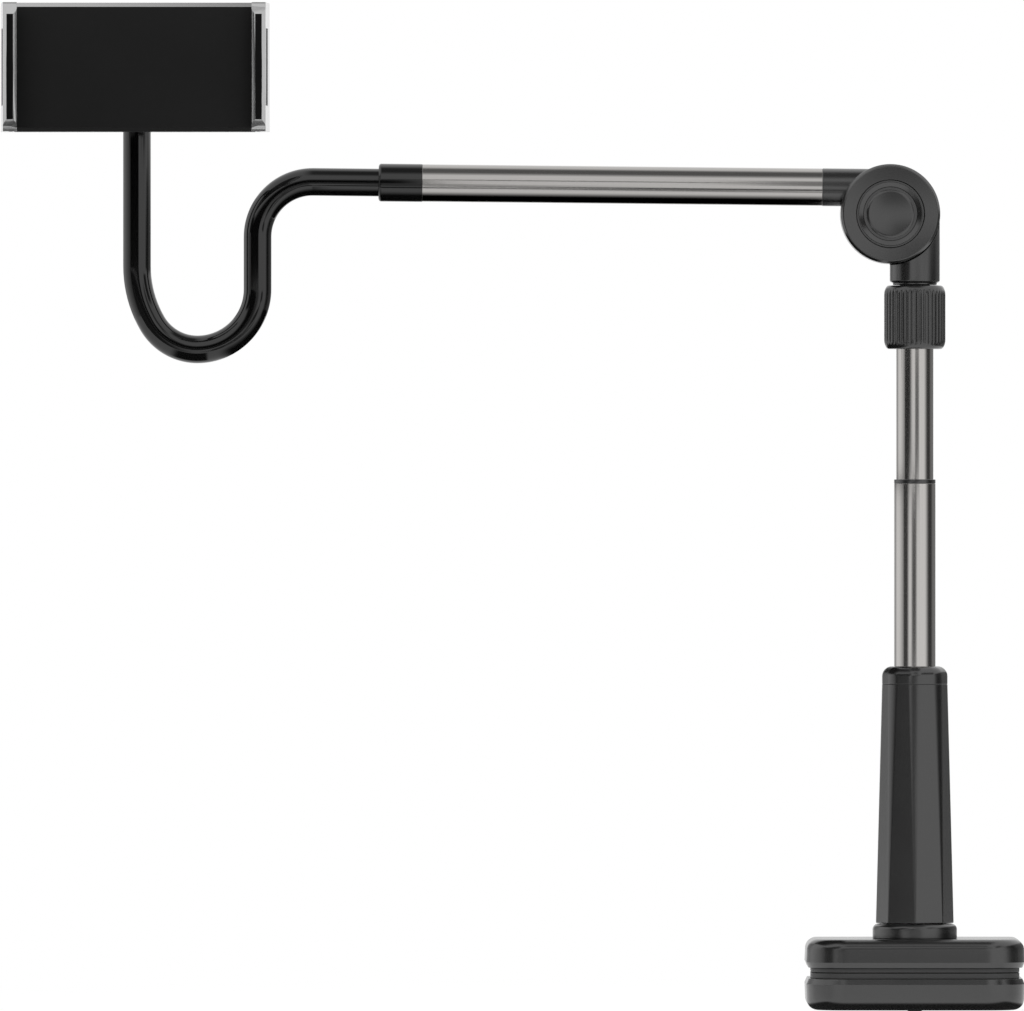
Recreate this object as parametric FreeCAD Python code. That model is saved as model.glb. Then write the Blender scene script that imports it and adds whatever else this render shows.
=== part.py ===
import FreeCAD, Part
import math
import os

V = FreeCAD.Vector
X = V(1, 0, 0)
Y = V(0, 1, 0)
Z = V(0, 0, 1)

# Clearances, per side
run_gap = 0.08
air_gap = 0.4
seat_gap = 0.02

# Overlap of solids that become one, nearness that counts as touching, reach beyond all pieces
lap = 1.0
touch = 0.01
far = 999.0

# Clip: the mouth's mid plane is z = 0, the mast stands on the z axis, -y is the front
jaw_width = 118.0
jaw_front = -38.0
jaw_rear = 46.0
jaw_front_corner = 22.0
jaw_rear_corner = 8.0
upper_jaw_bottom = 2.55
upper_jaw_top = 18.0
lower_jaw_top = -3.3
lower_jaw_bottom = -20.2
jaw_edge = 6.0
jaw_draft = 0.5
jaw_mouth_edge = 1.3
jaw_mouth_rise = 3.0
pad_inset = 2.9
pad_rear = 29.0
pad_parting = 0.3
hinge_y = 40.0
pin_r = 2.5
knuckle_r = 6.0
knuckle_length = 8.0
knuckle_root = 4.0
spring_room = 20.5
handle_start = 8.0
handle_bend = 4.0
handle_half = 19.5
handle_end = 98.0
handle_thick = 5.0
handle_root_z = 8.5
handle_tip_z = 17.0
spring_coil_r = 4.2
spring_wire_r = 0.7
spring_pitch = 2.6
spring_turns = 5.5
spring_leg = 26.0
foot_screw_r = 4.6
foot_screw_head = 1.4
foot_screw_rim = 0.5
foot_screw_slope = 1.4
foot_screw_shank_r = 2.0
foot_screw_length = 12.0

# Swivel under the column
collar_r = 22.8
collar_height = 8.0
collar_shoulder = 3.2
swivel_pocket_r = 14.0
swivel_wall = 6.0
swivel_bolt_r = 4.0
swivel_head_r = 6.6
swivel_head = 5.0
hex_key = 5.0
swivel_nut_flats = 13.0
swivel_nut = 6.0
swivel_head_washer_r = 8.5
swivel_head_washer = 1.5
swivel_friction_r = 15.0
swivel_friction = 1.3
swivel_parting = 0.3

# Column
column_bottom_r = 21.12
column_bottom_corner = 1.5
column_top_r = 18.62
column_top_corner = 10.0
column_length = 128.95
column_floor = 6.0
column_bush = 1.5
cap_length = 9.65
cap_edge = 5.4
cap_plug = 8.0

# Telescoping tubes
lower_tube_r = 11.2
lower_tube_wall = 0.75
lower_tube_shown = 98.6
lower_tube_in = 34.0
lower_bush = 8.0
ring_height = 2.3
ring_spigot = 16.0
tube_step = 0.4
upper_tube_wall = 0.8
upper_tube_shown = 70.4
upper_tube_in = 60.0
upper_bush_plug = 8.5
upper_bush_flange = 2.0

# Lock knob and collet
knob_r = 16.55
knob_height = 34.3
knob_end_inset = 2.6
knob_end_drop = 5.2
knob_flutes = 40
knob_flute_r = 0.8
knob_flute_depth = 0.45
knob_lip = 4.5
knob_top_lip = 2.7
collet_wall = 1.95
collet_float = 0.3
collet_socket = 11.0
collet_slot = 1.6
collet_slot_length = 12.0

# Elbow and pivot
neck_r = 11.9
neck_height = 1.3
elbow_r = 13.5
elbow_chamfer = 0.8
elbow_rise = 36.95
spigot_r = 8.0
disc_r = 26.85
disc_depth = 15.5
disc_rim = 1.4
disc_dish = 0.9
disc_parting = 0.2
pivot_bolt_r = 4.0
pivot_head_r = 7.5
pivot_head = 5.0
pivot_recess_r = 12.0
pivot_seat = 3.0
pivot_room = 0.2
cap_r = 13.2
cap_dome = 0.7
cap_side = 0.5
cap_bevel = 0.6
ring_r = 17.6
ring_groove = 0.8
ring_bore_gap = 0.7
ring_drop = 0.2
ring_sink = 1.5
friction_r = 20.0
friction_bore = 6.0
friction_recess = 1.0
spring_washer = 2.0
spring_washer_thick = 1.1
spring_washer_r = 9.5
pivot_nut_flats = 13.0
pivot_nut = 4.0

# Arm, measured along its axis from the pivot
arm_tilt = 0.6
arm_offset = 14.15
stub_r = 10.2
stub_end = 36.75
tube_r = 10.1
tube_wall = 1.0
tube_length = 216.0
sleeve_r = 10.25
sleeve_length = 23.6
sleeve_edge = 1.5
arm_spigot = 15.0
neck_grip = 22.0

# Gooseneck
goose_r = 7.5
goose_bend_r = 29.7
goose_u_right_r = 32.5
goose_u_left_r = 28.1
goose_u_exit_r = 61.7
goose_u_exit_turn = 30.0
goose_drop = 28.265
goose_end_bend_r = 24.0
goose_end_run = 9.0

# Ball joint behind the cradle
cradle_x = -420.0
cradle_z = 486.9
stud_length = 14.0
ball_r = 8.0
ball_neck_r = 3.5
ball_neck_end = 0.5
ferrule_r = 9.3
ferrule_face = 2.0
ferrule_short = 0.5
seat_ring_wall = 1.04
seat_ring_back = 1.6
seat_ring_front = 5.0
ball_nut_r = 15.5
ball_nut_front = 5.5
ball_nut_back = 5.1
ball_nut_flutes = 18
ball_nut_flute_r = 1.6
ball_nut_flute_depth = 0.8
ball_nut_room = 0.2
boss_r = 12.2
boss_end = 0.8
boss_step = 3.5
boss_inner_r = 11.0
boss_inner = 10.6

# Cradle
housing_half_x = 64.8
housing_half_z = 34.65
housing_from_ball = 5.5
housing_depth = 13.5
housing_wall = 2.0
housing_floor = 2.5
housing_edge = 2.0
panel_thick = 2.2
panel_bevel_z = 2.2
panel_bevel_y = 1.5
guide_half = 0.6
side_rib = 1.2
side_rib_gap = 0.8
side_rib_end = 20.8
rest_rib_half = 1.0
rest_rib_pitch = 24.0
rest_rib_pairs = 2
post_r = 3.0
post_inset_x = 8.8
post_inset_z = 5.05
screw_r = 1.4
screw_head_r = 2.6
screw_head = 1.6
screw_length = 11.5
cross_half = 1.5
cross_slot_half = 0.3
cross_depth = 0.8

# Claws, from the housing's ends, back and panel
claw_overlap = 1.9
claw_reach = 7.5
claw_side_draft = 1.9
claw_wall = 4.9
claw_back_inset = 1.5
claw_depth = 15.8
claw_lip = 3.5
claw_pad_wall = 2.2
claw_pad_lip = 1.5
claw_outer_bevel = 1.85
claw_outer_bevel_y = 1.6
claw_inner_bevel = 1.8
claw_inner_bevel_y = 1.2
claw_end_bevel = 4.3
claw_end_bevel_y = 2.4
claw_end_frame = 2.0
claw_pad_inset = 0.4
band_end = 6.35
band_gap = 0.15
band_recess = 0.5
band_proud = 0.05
grip_half_z = 20.6
grip_half_y = 7.0
grip_back = 12.0
grip_recess = 1.2
grip_thick = 0.8
grip_edge = 0.3
rail_thick = 3.0
rail_inset = 5.9
rail_length = 75.0
rail_slack = 0.35
rail_between = 2.8
tongue_half_z = 10.6
fork_width = 10.6
anchor_r = 1.0
anchor_post_r = 2.2
anchor_room = 0.3
claw_spring_r = 1.3
claw_spring_wire_r = 0.35
claw_spring_turns = 9
claw_spring_inset = 5.0
claw_spring_anchor_inset = 14.8
claw_spring_eye_gap = 0.15
claw_spring_shank = 1.2

# Heights that follow from the pieces below
collar_top = upper_jaw_top + collar_height
column_foot = collar_top + swivel_parting
column_seam = column_foot + column_length
column_top = column_seam + cap_length
ring_foot = column_top + lower_tube_shown
ring_top = ring_foot + ring_height
lower_tube_foot = column_top - lower_tube_in
knob_foot = ring_top + upper_tube_shown
knob_top = knob_foot + knob_height
upper_tube_foot = ring_foot - upper_tube_in
column_bore_r = lower_tube_r + column_bush
lower_tube_bore_r = lower_tube_r - lower_tube_wall
upper_tube_r = lower_tube_bore_r - tube_step
upper_tube_bore_r = upper_tube_r - upper_tube_wall
collet_r = upper_tube_r + collet_wall
collet_foot = knob_foot + knob_lip + collet_float
collet_top = knob_top - knob_top_lip - collet_float
tube_stop = collet_foot + collet_socket
neck_foot = knob_top + swivel_parting
elbow_foot = neck_foot + neck_height
pivot_x = elbow_r - disc_r
pivot_z = elbow_foot + elbow_rise
pivot = V(pivot_x, 0, pivot_z)
pivot_web = disc_depth - pivot_seat - spring_washer - pivot_nut - pivot_room
tube_end = stub_end + tube_length
sleeve_end = tube_end + sleeve_length

# Places that follow from the ball and the housing
ball_y = -goose_end_bend_r - goose_end_run - stud_length
ball = V(cradle_x, ball_y, cradle_z)
housing_back_y = ball_y - housing_from_ball
housing_front_y = housing_back_y - housing_depth
panel_front_y = housing_front_y - panel_thick
post_x = housing_half_x - post_inset_x
post_z = housing_half_z - post_inset_z
claw_inner_x = housing_half_x - claw_overlap
claw_outer_x = housing_half_x + claw_reach
claw_side_x = claw_outer_x - claw_side_draft
claw_back_y = housing_back_y - claw_back_inset
claw_front_y = panel_front_y - claw_depth
band_half_z = housing_half_z - band_end
rail_y = housing_back_y - rail_inset
fork_inner_z = tongue_half_z + rail_between
fork_outer_z = fork_inner_z + fork_width
rail_foot_x = housing_half_x + air_gap + lap
claw_spring_anchor_x = housing_half_x - claw_spring_anchor_inset


def save(name, shape):
    """Write one checked solid group as parts/NAME.step."""
    if not shape.isValid():
        raise ValueError(name + " is not valid")
    shape = shape.removeSplitter()
    shape.exportStep("parts/" + name + ".step")
    print(name, len(shape.Solids), round(shape.Volume), "mm3")


def rod(radius, length, base, axis):
    """A cylinder from base along axis."""
    return Part.makeCylinder(radius, length, base, axis)


def pipe(outer, inner, length, base, axis):
    """A cylinder with a round bore."""
    return rod(outer, length, base, axis).cut(rod(inner, length, base, axis))


def block(x0, x1, y0, y1, z0, z1):
    """A box between two corners."""
    return Part.makeBox(x1 - x0, y1 - y0, z1 - z0, V(x0, y0, z0))


def turned(points, base, axis):
    """A solid of revolution from (radius, height) points about axis through base."""
    corners = [V(r, 0, h) for r, h in points]
    face = Part.Face(Part.makePolygon(corners + corners[:1]))
    solid = face.revolve(V(0, 0, 0), Z, 360)
    solid.Placement = FreeCAD.Placement(base, FreeCAD.Rotation(Z, axis))
    return solid


def extruded(points, direction):
    """A prism from a closed row of corner points."""
    return Part.Face(Part.makePolygon(points + points[:1])).extrude(direction)


def around(radius, degrees, z):
    """The point at a radius and an angle about the z axis."""
    turn = math.radians(degrees)
    return V(radius * math.cos(turn), radius * math.sin(turn), z)


def hexagon(flats, length, base, axis):
    """A hexagonal prism, such as a nut, from base along axis."""
    reach = flats / 2 / math.cos(math.radians(30))
    prism = extruded([around(reach, 60 * i, 0) for i in range(6)], Z * length)
    prism.Placement = FreeCAD.Placement(base, FreeCAD.Rotation(Z, axis))
    return prism


def mirrored(shape, x):
    """The shape mirrored on the plane at x."""
    return shape.mirror(V(x, 0, 0), X)


def rounded_plate(half_x, y0, y1, front_r, rear_r, z0, z1):
    """A plate with rounded plan corners, front ones and rear ones."""
    plate = block(-half_x, half_x, y0, y1, z0, z1)
    for y, radius in ((y0, front_r), (y1, rear_r)):
        corners = []
        for x in (-half_x, half_x):
            low = V(x - touch, y - touch, -far)
            corners += edges_at(plate, low, V(x + touch, y + touch, far))
        plate = plate.makeFillet(radius, corners)
    return plate


def edges_at(shape, low, high):
    """Edges that lie wholly inside a box."""
    found = []
    for e in shape.Edges:
        b = e.BoundBox
        inside = b.XMin > low.x and b.YMin > low.y and b.ZMin > low.z
        if inside and b.XMax < high.x and b.YMax < high.y and b.ZMax < high.z:
            found.append(e)
    return found


def level_edges(shape, z):
    """Edges that lie in the level plane at z."""
    return edges_at(shape, V(-far, -far, z - touch), V(far, far, z + touch))


def coil(radius, wire_r, pitch, turns, base, axis):
    """A helical wire that starts at base and climbs along axis."""
    path = Part.makeHelix(pitch, pitch * turns, radius)
    profile = Part.Wire([Part.makeCircle(wire_r, V(radius, 0, 0), Y)])
    solid = Part.Wire(path).makePipeShell([profile], True, True)
    solid.Placement = FreeCAD.Placement(base, FreeCAD.Rotation(Z, axis))
    return solid


def knuckles(start, sign):
    """Two hinge knuckles with the root that joins them to a jaw above (sign 1) or below (-1)."""
    barrels = []
    for x in (start, -start - knuckle_length):
        barrel = rod(knuckle_r, knuckle_length, V(x, hinge_y, 0), X)
        root_z = sorted((0, sign * (abs(lower_jaw_top) + knuckle_root)))
        root = block(x, x + knuckle_length, hinge_y - knuckle_r, jaw_rear, root_z[0], root_z[1])
        barrels.append(barrel.fuse(root))
    return barrels[0].fuse(barrels[1])


def knuckle_room(start):
    """Air for the other jaw's knuckles."""
    radius = knuckle_r + air_gap
    length = knuckle_length + 2 * air_gap
    room = []
    for x in (start - air_gap, -start - knuckle_length - air_gap):
        room.append(rod(radius, length, V(x, hinge_y, 0), X))
        room.append(block(x, x + length, hinge_y, handle_end, -radius, radius))
    return Part.makeCompound(room)


def handle(sign):
    """A finger handle behind the hinge, above (sign 1) or below (-1) the mouth's plane."""
    tip = handle_end - handle_half
    start = hinge_y - handle_start
    bend = hinge_y + handle_bend
    rows = [
        (start, sign * handle_root_z),
        (bend, sign * handle_root_z),
        (handle_end, sign * handle_tip_z),
        (handle_end, sign * (handle_tip_z + handle_thick)),
        (bend, sign * (handle_root_z + handle_thick)),
        (start, sign * (handle_root_z + handle_thick)),
    ]
    tongue = extruded([V(-handle_half, y, z) for y, z in rows], X * (2 * handle_half))
    reach = handle_tip_z + handle_thick + lap
    plan = block(-handle_half, handle_half, start - lap, tip, -reach, reach)
    plan = plan.fuse(rod(handle_half, 2 * reach, V(0, tip, -reach), Z))
    return tongue.common(plan)


def spring_air():
    """Air for the torsion spring between the inner knuckles, open to the rear for its legs."""
    room = rod(knuckle_r + air_gap, 2 * spring_room, V(-spring_room, hinge_y, 0), X)
    half = spring_pitch * spring_turns / 2 + spring_wire_r + air_gap
    return room.fuse(block(-half, half, hinge_y, handle_end, -handle_root_z, handle_root_z))


def jaw_plan(inset, z):
    """A jaw's outline at a height, drawn in by an inset."""
    half = jaw_width / 2 - inset
    front_r = jaw_front_corner - inset
    rear_r = jaw_rear_corner - inset
    plate = rounded_plate(half, jaw_front + inset, jaw_rear - inset, front_r, rear_r, z, z + lap)
    return Part.Wire(Part.sortEdges(level_edges(plate, z))[0])


def jaw_block(mouth_z, outer_z):
    """A jaw's body: sloped at the mouth, drawn in a little and well rounded on its outer side."""
    way = 1 if outer_z > mouth_z else -1
    shoulder_z = mouth_z + way * jaw_mouth_rise
    lip = Part.makeLoft([jaw_plan(jaw_mouth_edge, mouth_z), jaw_plan(0, shoulder_z)], True, True)
    body = Part.makeLoft([jaw_plan(0, shoulder_z), jaw_plan(jaw_draft, outer_z)], True, True)
    return body.makeFillet(jaw_edge, level_edges(body, outer_z)).fuse(lip)


def upper_jaw():
    """The clip's fixed jaw, with the swivel's pocket and the fixed knuckles."""
    body = jaw_block(upper_jaw_bottom, upper_jaw_top)
    body = body.fuse(handle(1))
    outer_start = spring_room + knuckle_length + air_gap
    body = body.cut(spring_air()).cut(knuckle_room(outer_start))
    body = body.fuse(knuckles(spring_room, 1))
    pocket_top = upper_jaw_top - swivel_wall
    body = body.cut(rod(swivel_pocket_r, pocket_top, V(0, 0, 0), Z))
    body = body.cut(rod(swivel_bolt_r + run_gap, upper_jaw_top, V(0, 0, 0), Z))
    return body.cut(rod(pin_r + seat_gap, jaw_width, V(-jaw_width / 2, hinge_y, 0), X))


def lower_jaw():
    """The clip's moving jaw, with its handle and the outer knuckles."""
    body = jaw_block(lower_jaw_top, lower_jaw_bottom)
    body = body.fuse(handle(-1))
    outer_start = spring_room + knuckle_length + air_gap
    body = body.cut(spring_air()).cut(knuckle_room(spring_room))
    body = body.fuse(knuckles(outer_start, -1))
    body = body.cut(rod(foot_screw_shank_r, foot_screw_length, V(0, 0, lower_jaw_bottom), Z))
    return body.cut(rod(pin_r + run_gap, jaw_width, V(-jaw_width / 2, hinge_y, 0), X))


def jaw_pad(z0, z1):
    """A soft pad on a jaw's mouth side."""
    half = jaw_width / 2 - pad_inset
    corner = jaw_front_corner - pad_inset
    return rounded_plate(half, jaw_front + pad_inset, pad_rear, corner, jaw_rear_corner, z0, z1)


def hinge_pin():
    """The steel pin through all four knuckles."""
    half = spring_room + 2 * knuckle_length + air_gap
    return rod(pin_r, 2 * half, V(-half, hinge_y, 0), X)


def jaw_spring():
    """A torsion spring around the pin, one leg under each handle."""
    length = spring_pitch * spring_turns
    start = V(-length / 2, hinge_y, 0)
    body = coil(spring_coil_r, spring_wire_r, spring_pitch, spring_turns, start, X)
    body = body.rotated(start, X, 180)
    bend = hinge_y + handle_bend
    slope = math.atan2(handle_tip_z - handle_root_z, handle_end - bend)
    lie = handle_root_z - spring_wire_r - air_gap
    for x, sign in ((-length / 2, 1), (length / 2, -1)):
        foot = V(x, bend, sign * lie)
        way = V(0, math.cos(slope), sign * math.sin(slope))
        rise = foot.sub(V(x, hinge_y, sign * spring_coil_r))
        link = rod(spring_wire_r, rise.Length, V(x, hinge_y, sign * spring_coil_r), rise)
        body = body.fuse(link).fuse(Part.makeSphere(spring_wire_r, foot))
        body = body.fuse(rod(spring_wire_r, spring_leg, foot, way))
    return body


def foot_screw():
    """The screw that holds the lower pad's plate, its low head under the jaw."""
    base = V(0, 0, lower_jaw_bottom)
    rows = [
        (0, 0),
        (foot_screw_r, 0),
        (foot_screw_r, -foot_screw_rim),
        (foot_screw_r - foot_screw_slope, -foot_screw_head),
        (0, -foot_screw_head),
    ]
    return turned(rows, base, Z).fuse(rod(foot_screw_shank_r, foot_screw_length, base, Z))


def swivel_collar():
    """The ring on the clip that the column turns on."""
    body = rod(collar_r, collar_height, V(0, 0, upper_jaw_top), Z)
    body = body.makeFillet(collar_shoulder, level_edges(body, collar_top))
    recess = swivel_friction - swivel_parting
    body = body.cut(rod(swivel_friction_r + seat_gap, recess, V(0, 0, collar_top - recess), Z))
    return body.cut(rod(swivel_bolt_r + run_gap, collar_height, V(0, 0, upper_jaw_top), Z))


def swivel_friction_washer():
    """The washer that the column rubs on."""
    foot = V(0, 0, column_foot - swivel_friction)
    return pipe(swivel_friction_r, swivel_bolt_r + run_gap, swivel_friction, foot, Z)


def swivel_bolt():
    """The bolt that ties the column to the clip."""
    head_foot = column_foot + column_floor + swivel_head_washer
    nut_foot = upper_jaw_top - swivel_wall - swivel_nut
    body = rod(swivel_bolt_r, head_foot - nut_foot, V(0, 0, nut_foot), Z)
    body = body.fuse(rod(swivel_head_r, swivel_head, V(0, 0, head_foot), Z))
    socket = hexagon(hex_key, swivel_head / 2, V(0, 0, head_foot + swivel_head / 2), Z)
    return body.cut(socket)


def swivel_nut_piece():
    """The nut in the upper jaw's pocket."""
    foot = V(0, 0, upper_jaw_top - swivel_wall - swivel_nut)
    return hexagon(swivel_nut_flats, swivel_nut, foot, Z).cut(rod(swivel_bolt_r, swivel_nut, foot, Z))


def swivel_washer():
    """The plain washer under the swivel bolt's head."""
    foot = V(0, 0, column_foot + column_floor)
    return pipe(swivel_head_washer_r, swivel_bolt_r + seat_gap, swivel_head_washer, foot, Z)


def octagon(radius, corner, z):
    """A level octagon with rounded corners, one corner to the front."""
    half_turn = math.radians(22.5)
    cut = corner * math.tan(half_turn)
    drop = corner / math.cos(half_turn) - corner
    corners = [around(radius, 45 * i, z) for i in range(8)]
    arcs = []
    starts = []
    ends = []
    for i in range(8):
        back = corners[i - 1].sub(corners[i]).normalize()
        ahead = corners[(i + 1) % 8].sub(corners[i]).normalize()
        starts.append(corners[i].add(back * cut))
        ends.append(corners[i].add(ahead * cut))
        tip = around(radius - drop, 45 * i, z)
        arcs.append(Part.Arc(starts[i], tip, ends[i]).toShape())
    wire = []
    for i in range(8):
        wire.append(arcs[i])
        wire.append(Part.makeLine(ends[i], starts[(i + 1) % 8]))
    return Part.Wire(wire)


def column_body():
    """The tapering eight-sided column with the lower tube's bore."""
    foot = octagon(column_bottom_r, column_bottom_corner, column_foot)
    top = octagon(column_top_r, column_top_corner, column_seam)
    body = Part.makeLoft([foot, top], True, True)
    body = body.cut(rod(column_bore_r, column_length, V(0, 0, column_foot + column_floor), Z))
    return body.cut(rod(swivel_bolt_r + run_gap, column_floor, V(0, 0, column_foot), Z))


def column_cap():
    """The rounded cap with the guide for the lower tube."""
    foot = octagon(column_top_r, column_top_corner, column_seam)
    body = Part.Face(foot).extrude(Z * cap_length)
    body = body.makeFillet(cap_edge, level_edges(body, column_top))
    body = body.fuse(rod(column_bore_r - seat_gap, cap_plug, V(0, 0, column_seam - cap_plug), Z))
    bore = rod(lower_tube_r + run_gap, cap_length + cap_plug, V(0, 0, column_seam - cap_plug), Z)
    return body.cut(bore)


def lower_tube():
    """The wide tube that slides in the column."""
    return pipe(lower_tube_r, lower_tube_bore_r, ring_foot - lower_tube_foot, V(0, 0, lower_tube_foot), Z)


def lower_tube_ring():
    """The dark ring on the lower tube, which guides the upper tube."""
    body = rod(lower_tube_r, ring_height, V(0, 0, ring_foot), Z)
    body = body.fuse(rod(lower_tube_bore_r - seat_gap, ring_spigot, V(0, 0, ring_foot - ring_spigot), Z))
    bore_length = ring_height + ring_spigot
    return body.cut(rod(upper_tube_r + run_gap, bore_length, V(0, 0, ring_foot - ring_spigot), Z))


def lower_tube_bush():
    """The guide bush on the foot of the lower tube."""
    outer = column_bore_r - run_gap
    return pipe(outer, lower_tube_r + seat_gap, lower_bush, V(0, 0, lower_tube_foot), Z)


def upper_tube():
    """The narrow tube between the ring and the knob."""
    return pipe(upper_tube_r, upper_tube_bore_r, tube_stop - upper_tube_foot, V(0, 0, upper_tube_foot), Z)


def upper_tube_bush():
    """The guide plug in the foot of the upper tube."""
    plug = rod(upper_tube_bore_r - seat_gap, upper_bush_plug, V(0, 0, upper_tube_foot), Z)
    flange_foot = V(0, 0, upper_tube_foot - upper_bush_flange)
    flange = rod(lower_tube_bore_r - run_gap, upper_bush_flange, flange_foot, Z)
    length = upper_bush_plug + upper_bush_flange
    return plug.fuse(flange).cut(rod(upper_tube_bore_r / 2, length, flange_foot, Z))


def collet():
    """The slotted clamp on the upper tube that grips the elbow's spigot."""
    length = collet_top - collet_foot
    body = rod(collet_r, length, V(0, 0, collet_foot), Z)
    body = body.cut(rod(upper_tube_r + seat_gap, collet_socket, V(0, 0, collet_foot), Z))
    body = body.cut(rod(spigot_r + run_gap, length, V(0, 0, collet_foot), Z))
    slot_foot = collet_top - collet_slot_length
    half = collet_slot / 2
    body = body.cut(block(-half, half, -collet_r, collet_r, slot_foot, collet_top))
    return body.cut(block(-collet_r, collet_r, -half, half, slot_foot, collet_top))


def lock_knob():
    """The fluted knob that closes the collet."""
    low = V(knob_r - knob_end_inset, 0, knob_foot)
    side_low = V(knob_r, 0, knob_foot + knob_end_drop)
    side_high = V(knob_r, 0, knob_top - knob_end_drop)
    high = V(knob_r - knob_end_inset, 0, knob_top)
    bulge = 1 - math.sqrt(0.5)
    low_mid = V(knob_r - knob_end_inset * bulge, 0, knob_foot + knob_end_drop * bulge)
    high_mid = V(knob_r - knob_end_inset * bulge, 0, knob_top - knob_end_drop * bulge)
    rows = [
        Part.makeLine(V(0, 0, knob_foot), low),
        Part.Arc(low, low_mid, side_low).toShape(),
        Part.makeLine(side_low, side_high),
        Part.Arc(side_high, high_mid, high).toShape(),
        Part.makeLine(high, V(0, 0, knob_top)),
        Part.makeLine(V(0, 0, knob_top), V(0, 0, knob_foot)),
    ]
    body = Part.Face(Part.Wire(rows)).revolve(V(0, 0, 0), Z, 360)
    reach = knob_r + knob_flute_r - knob_flute_depth
    flutes = []
    for i in range(knob_flutes):
        flutes.append(rod(knob_flute_r, knob_height, around(reach, 360 * i / knob_flutes, knob_foot), Z))
    body = body.cut(flutes)
    body = body.cut(rod(upper_tube_r + air_gap, knob_lip, V(0, 0, knob_foot), Z))
    cavity = knob_height - knob_lip - knob_top_lip
    body = body.cut(rod(collet_r + run_gap, cavity, V(0, 0, knob_foot + knob_lip), Z))
    return body.cut(rod(spigot_r + air_gap, knob_height, V(0, 0, knob_foot), Z))


def pivot_disc_room():
    """The cylinder that the turning hub sweeps, in front of the parting."""
    return rod(disc_r + air_gap, 2 * disc_depth, V(pivot_x, disc_parting, pivot_z), Y * -1)


def elbow():
    """The mast's head: spigot, stub and the rear half of the pivot."""
    stub = rod(elbow_r, elbow_rise, V(0, 0, elbow_foot), Z)
    stub = stub.makeChamfer(elbow_chamfer, level_edges(stub, elbow_foot)).cut(pivot_disc_room())
    rear = turned(
        [
            (0, disc_parting),
            (disc_r, disc_parting),
            (disc_r, disc_depth - disc_rim),
            (disc_r - disc_rim, disc_depth),
            (0, disc_depth),
        ],
        pivot,
        Y,
    )
    body = stub.fuse(rear)
    body = body.fuse(rod(neck_r, neck_height + lap, V(0, 0, neck_foot), Z))
    spigot_foot = tube_stop + air_gap
    body = body.fuse(rod(spigot_r, elbow_foot - spigot_foot, V(0, 0, spigot_foot), Z))
    recess = friction_recess + disc_parting
    body = body.cut(rod(friction_r + seat_gap, recess, pivot, Y))
    floor = pivot.add(Y * pivot_web)
    body = body.cut(rod(pivot_recess_r, disc_depth, floor, Y))
    body = body.cut(rod(cap_r + ring_bore_gap, pivot_seat, pivot.add(Y * (disc_depth - pivot_seat)), Y))
    return body.cut(rod(pivot_bolt_r + seat_gap, disc_depth, pivot, Y))


def on_arm(shape):
    """Turn a piece built on a level arm to the arm's small rise."""
    return shape.rotated(pivot, Y, arm_tilt)


def arm_hub():
    """The front half of the pivot with the stub for the arm tube."""
    front = turned(
        [
            (0, disc_parting),
            (disc_r, disc_parting),
            (disc_r, disc_depth - disc_rim - disc_dish),
            (disc_r - disc_rim, disc_depth - disc_dish),
            (ring_r + ring_groove, disc_depth),
            (0, disc_depth),
        ],
        pivot,
        Y * -1,
    )
    axis_point = pivot.add(Z * arm_offset)
    stub = rod(stub_r, stub_end, axis_point, X * -1)
    stub = stub.cut(rod(disc_r + air_gap, 2 * disc_depth, pivot.sub(Y * disc_parting), Y))
    body = front.fuse(stub)
    spigot_base = axis_point.sub(X * (stub_end - lap))
    body = body.fuse(rod(tube_r - tube_wall - seat_gap, arm_spigot + lap, spigot_base, X * -1))
    seat = pivot.sub(Y * (disc_depth - pivot_seat))
    body = body.cut(rod(ring_r + ring_groove, pivot_seat, seat, Y * -1))
    body = body.cut(rod(pivot_recess_r, disc_depth, pivot.sub(Y * pivot_web), Y * -1))
    return on_arm(body.cut(rod(pivot_bolt_r + run_gap, disc_depth, pivot, Y * -1)))


def pivot_ring():
    """The ring with a sunk conical face around the cap."""
    inner = cap_r + ring_bore_gap
    low = disc_depth - pivot_seat
    rows = [(inner, low), (ring_r, low), (ring_r, disc_depth - ring_drop), (inner, disc_depth - ring_sink)]
    return on_arm(turned(rows, pivot, Y * -1))


def cap_disc(axis):
    """A slightly domed cap that covers a bolt end."""
    rim_r = cap_r - cap_bevel
    dome_r = (rim_r * rim_r + cap_dome * cap_dome) / (2 * cap_dome)
    half_way = math.asin(rim_r / dome_r) / 2
    foot = V(0, 0, disc_depth - pivot_seat)
    side = V(cap_r, 0, disc_depth - cap_side)
    rim = V(rim_r, 0, disc_depth)
    crown = V(0, 0, disc_depth + cap_dome)
    middle = V(dome_r * math.sin(half_way), 0, crown.z - dome_r * (1 - math.cos(half_way)))
    wire = [
        Part.makeLine(foot, V(cap_r, 0, foot.z)),
        Part.makeLine(V(cap_r, 0, foot.z), side),
        Part.makeLine(side, rim),
        Part.Arc(rim, middle, crown).toShape(),
        Part.makeLine(crown, foot),
    ]
    cap = Part.Face(Part.Wire(wire)).revolve(V(0, 0, 0), Z, 360)
    cap.Placement = FreeCAD.Placement(pivot, FreeCAD.Rotation(Z, axis))
    return cap


def pivot_bolt():
    """The bolt that holds the pivot's halves together."""
    head_back = pivot.sub(Y * pivot_web)
    end = pivot_web + spring_washer + pivot_nut
    body = rod(pivot_bolt_r, pivot_web + end, head_back, Y)
    body = body.fuse(rod(pivot_head_r, pivot_head, head_back, Y * -1))
    return body.cut(hexagon(hex_key, pivot_head / 2, head_back.sub(Y * pivot_head), Y))


def pivot_nut_piece():
    """The nut on the pivot bolt."""
    base = pivot.add(Y * (pivot_web + spring_washer))
    return hexagon(pivot_nut_flats, pivot_nut, base, Y).cut(rod(pivot_bolt_r, pivot_nut, base, Y))


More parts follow.
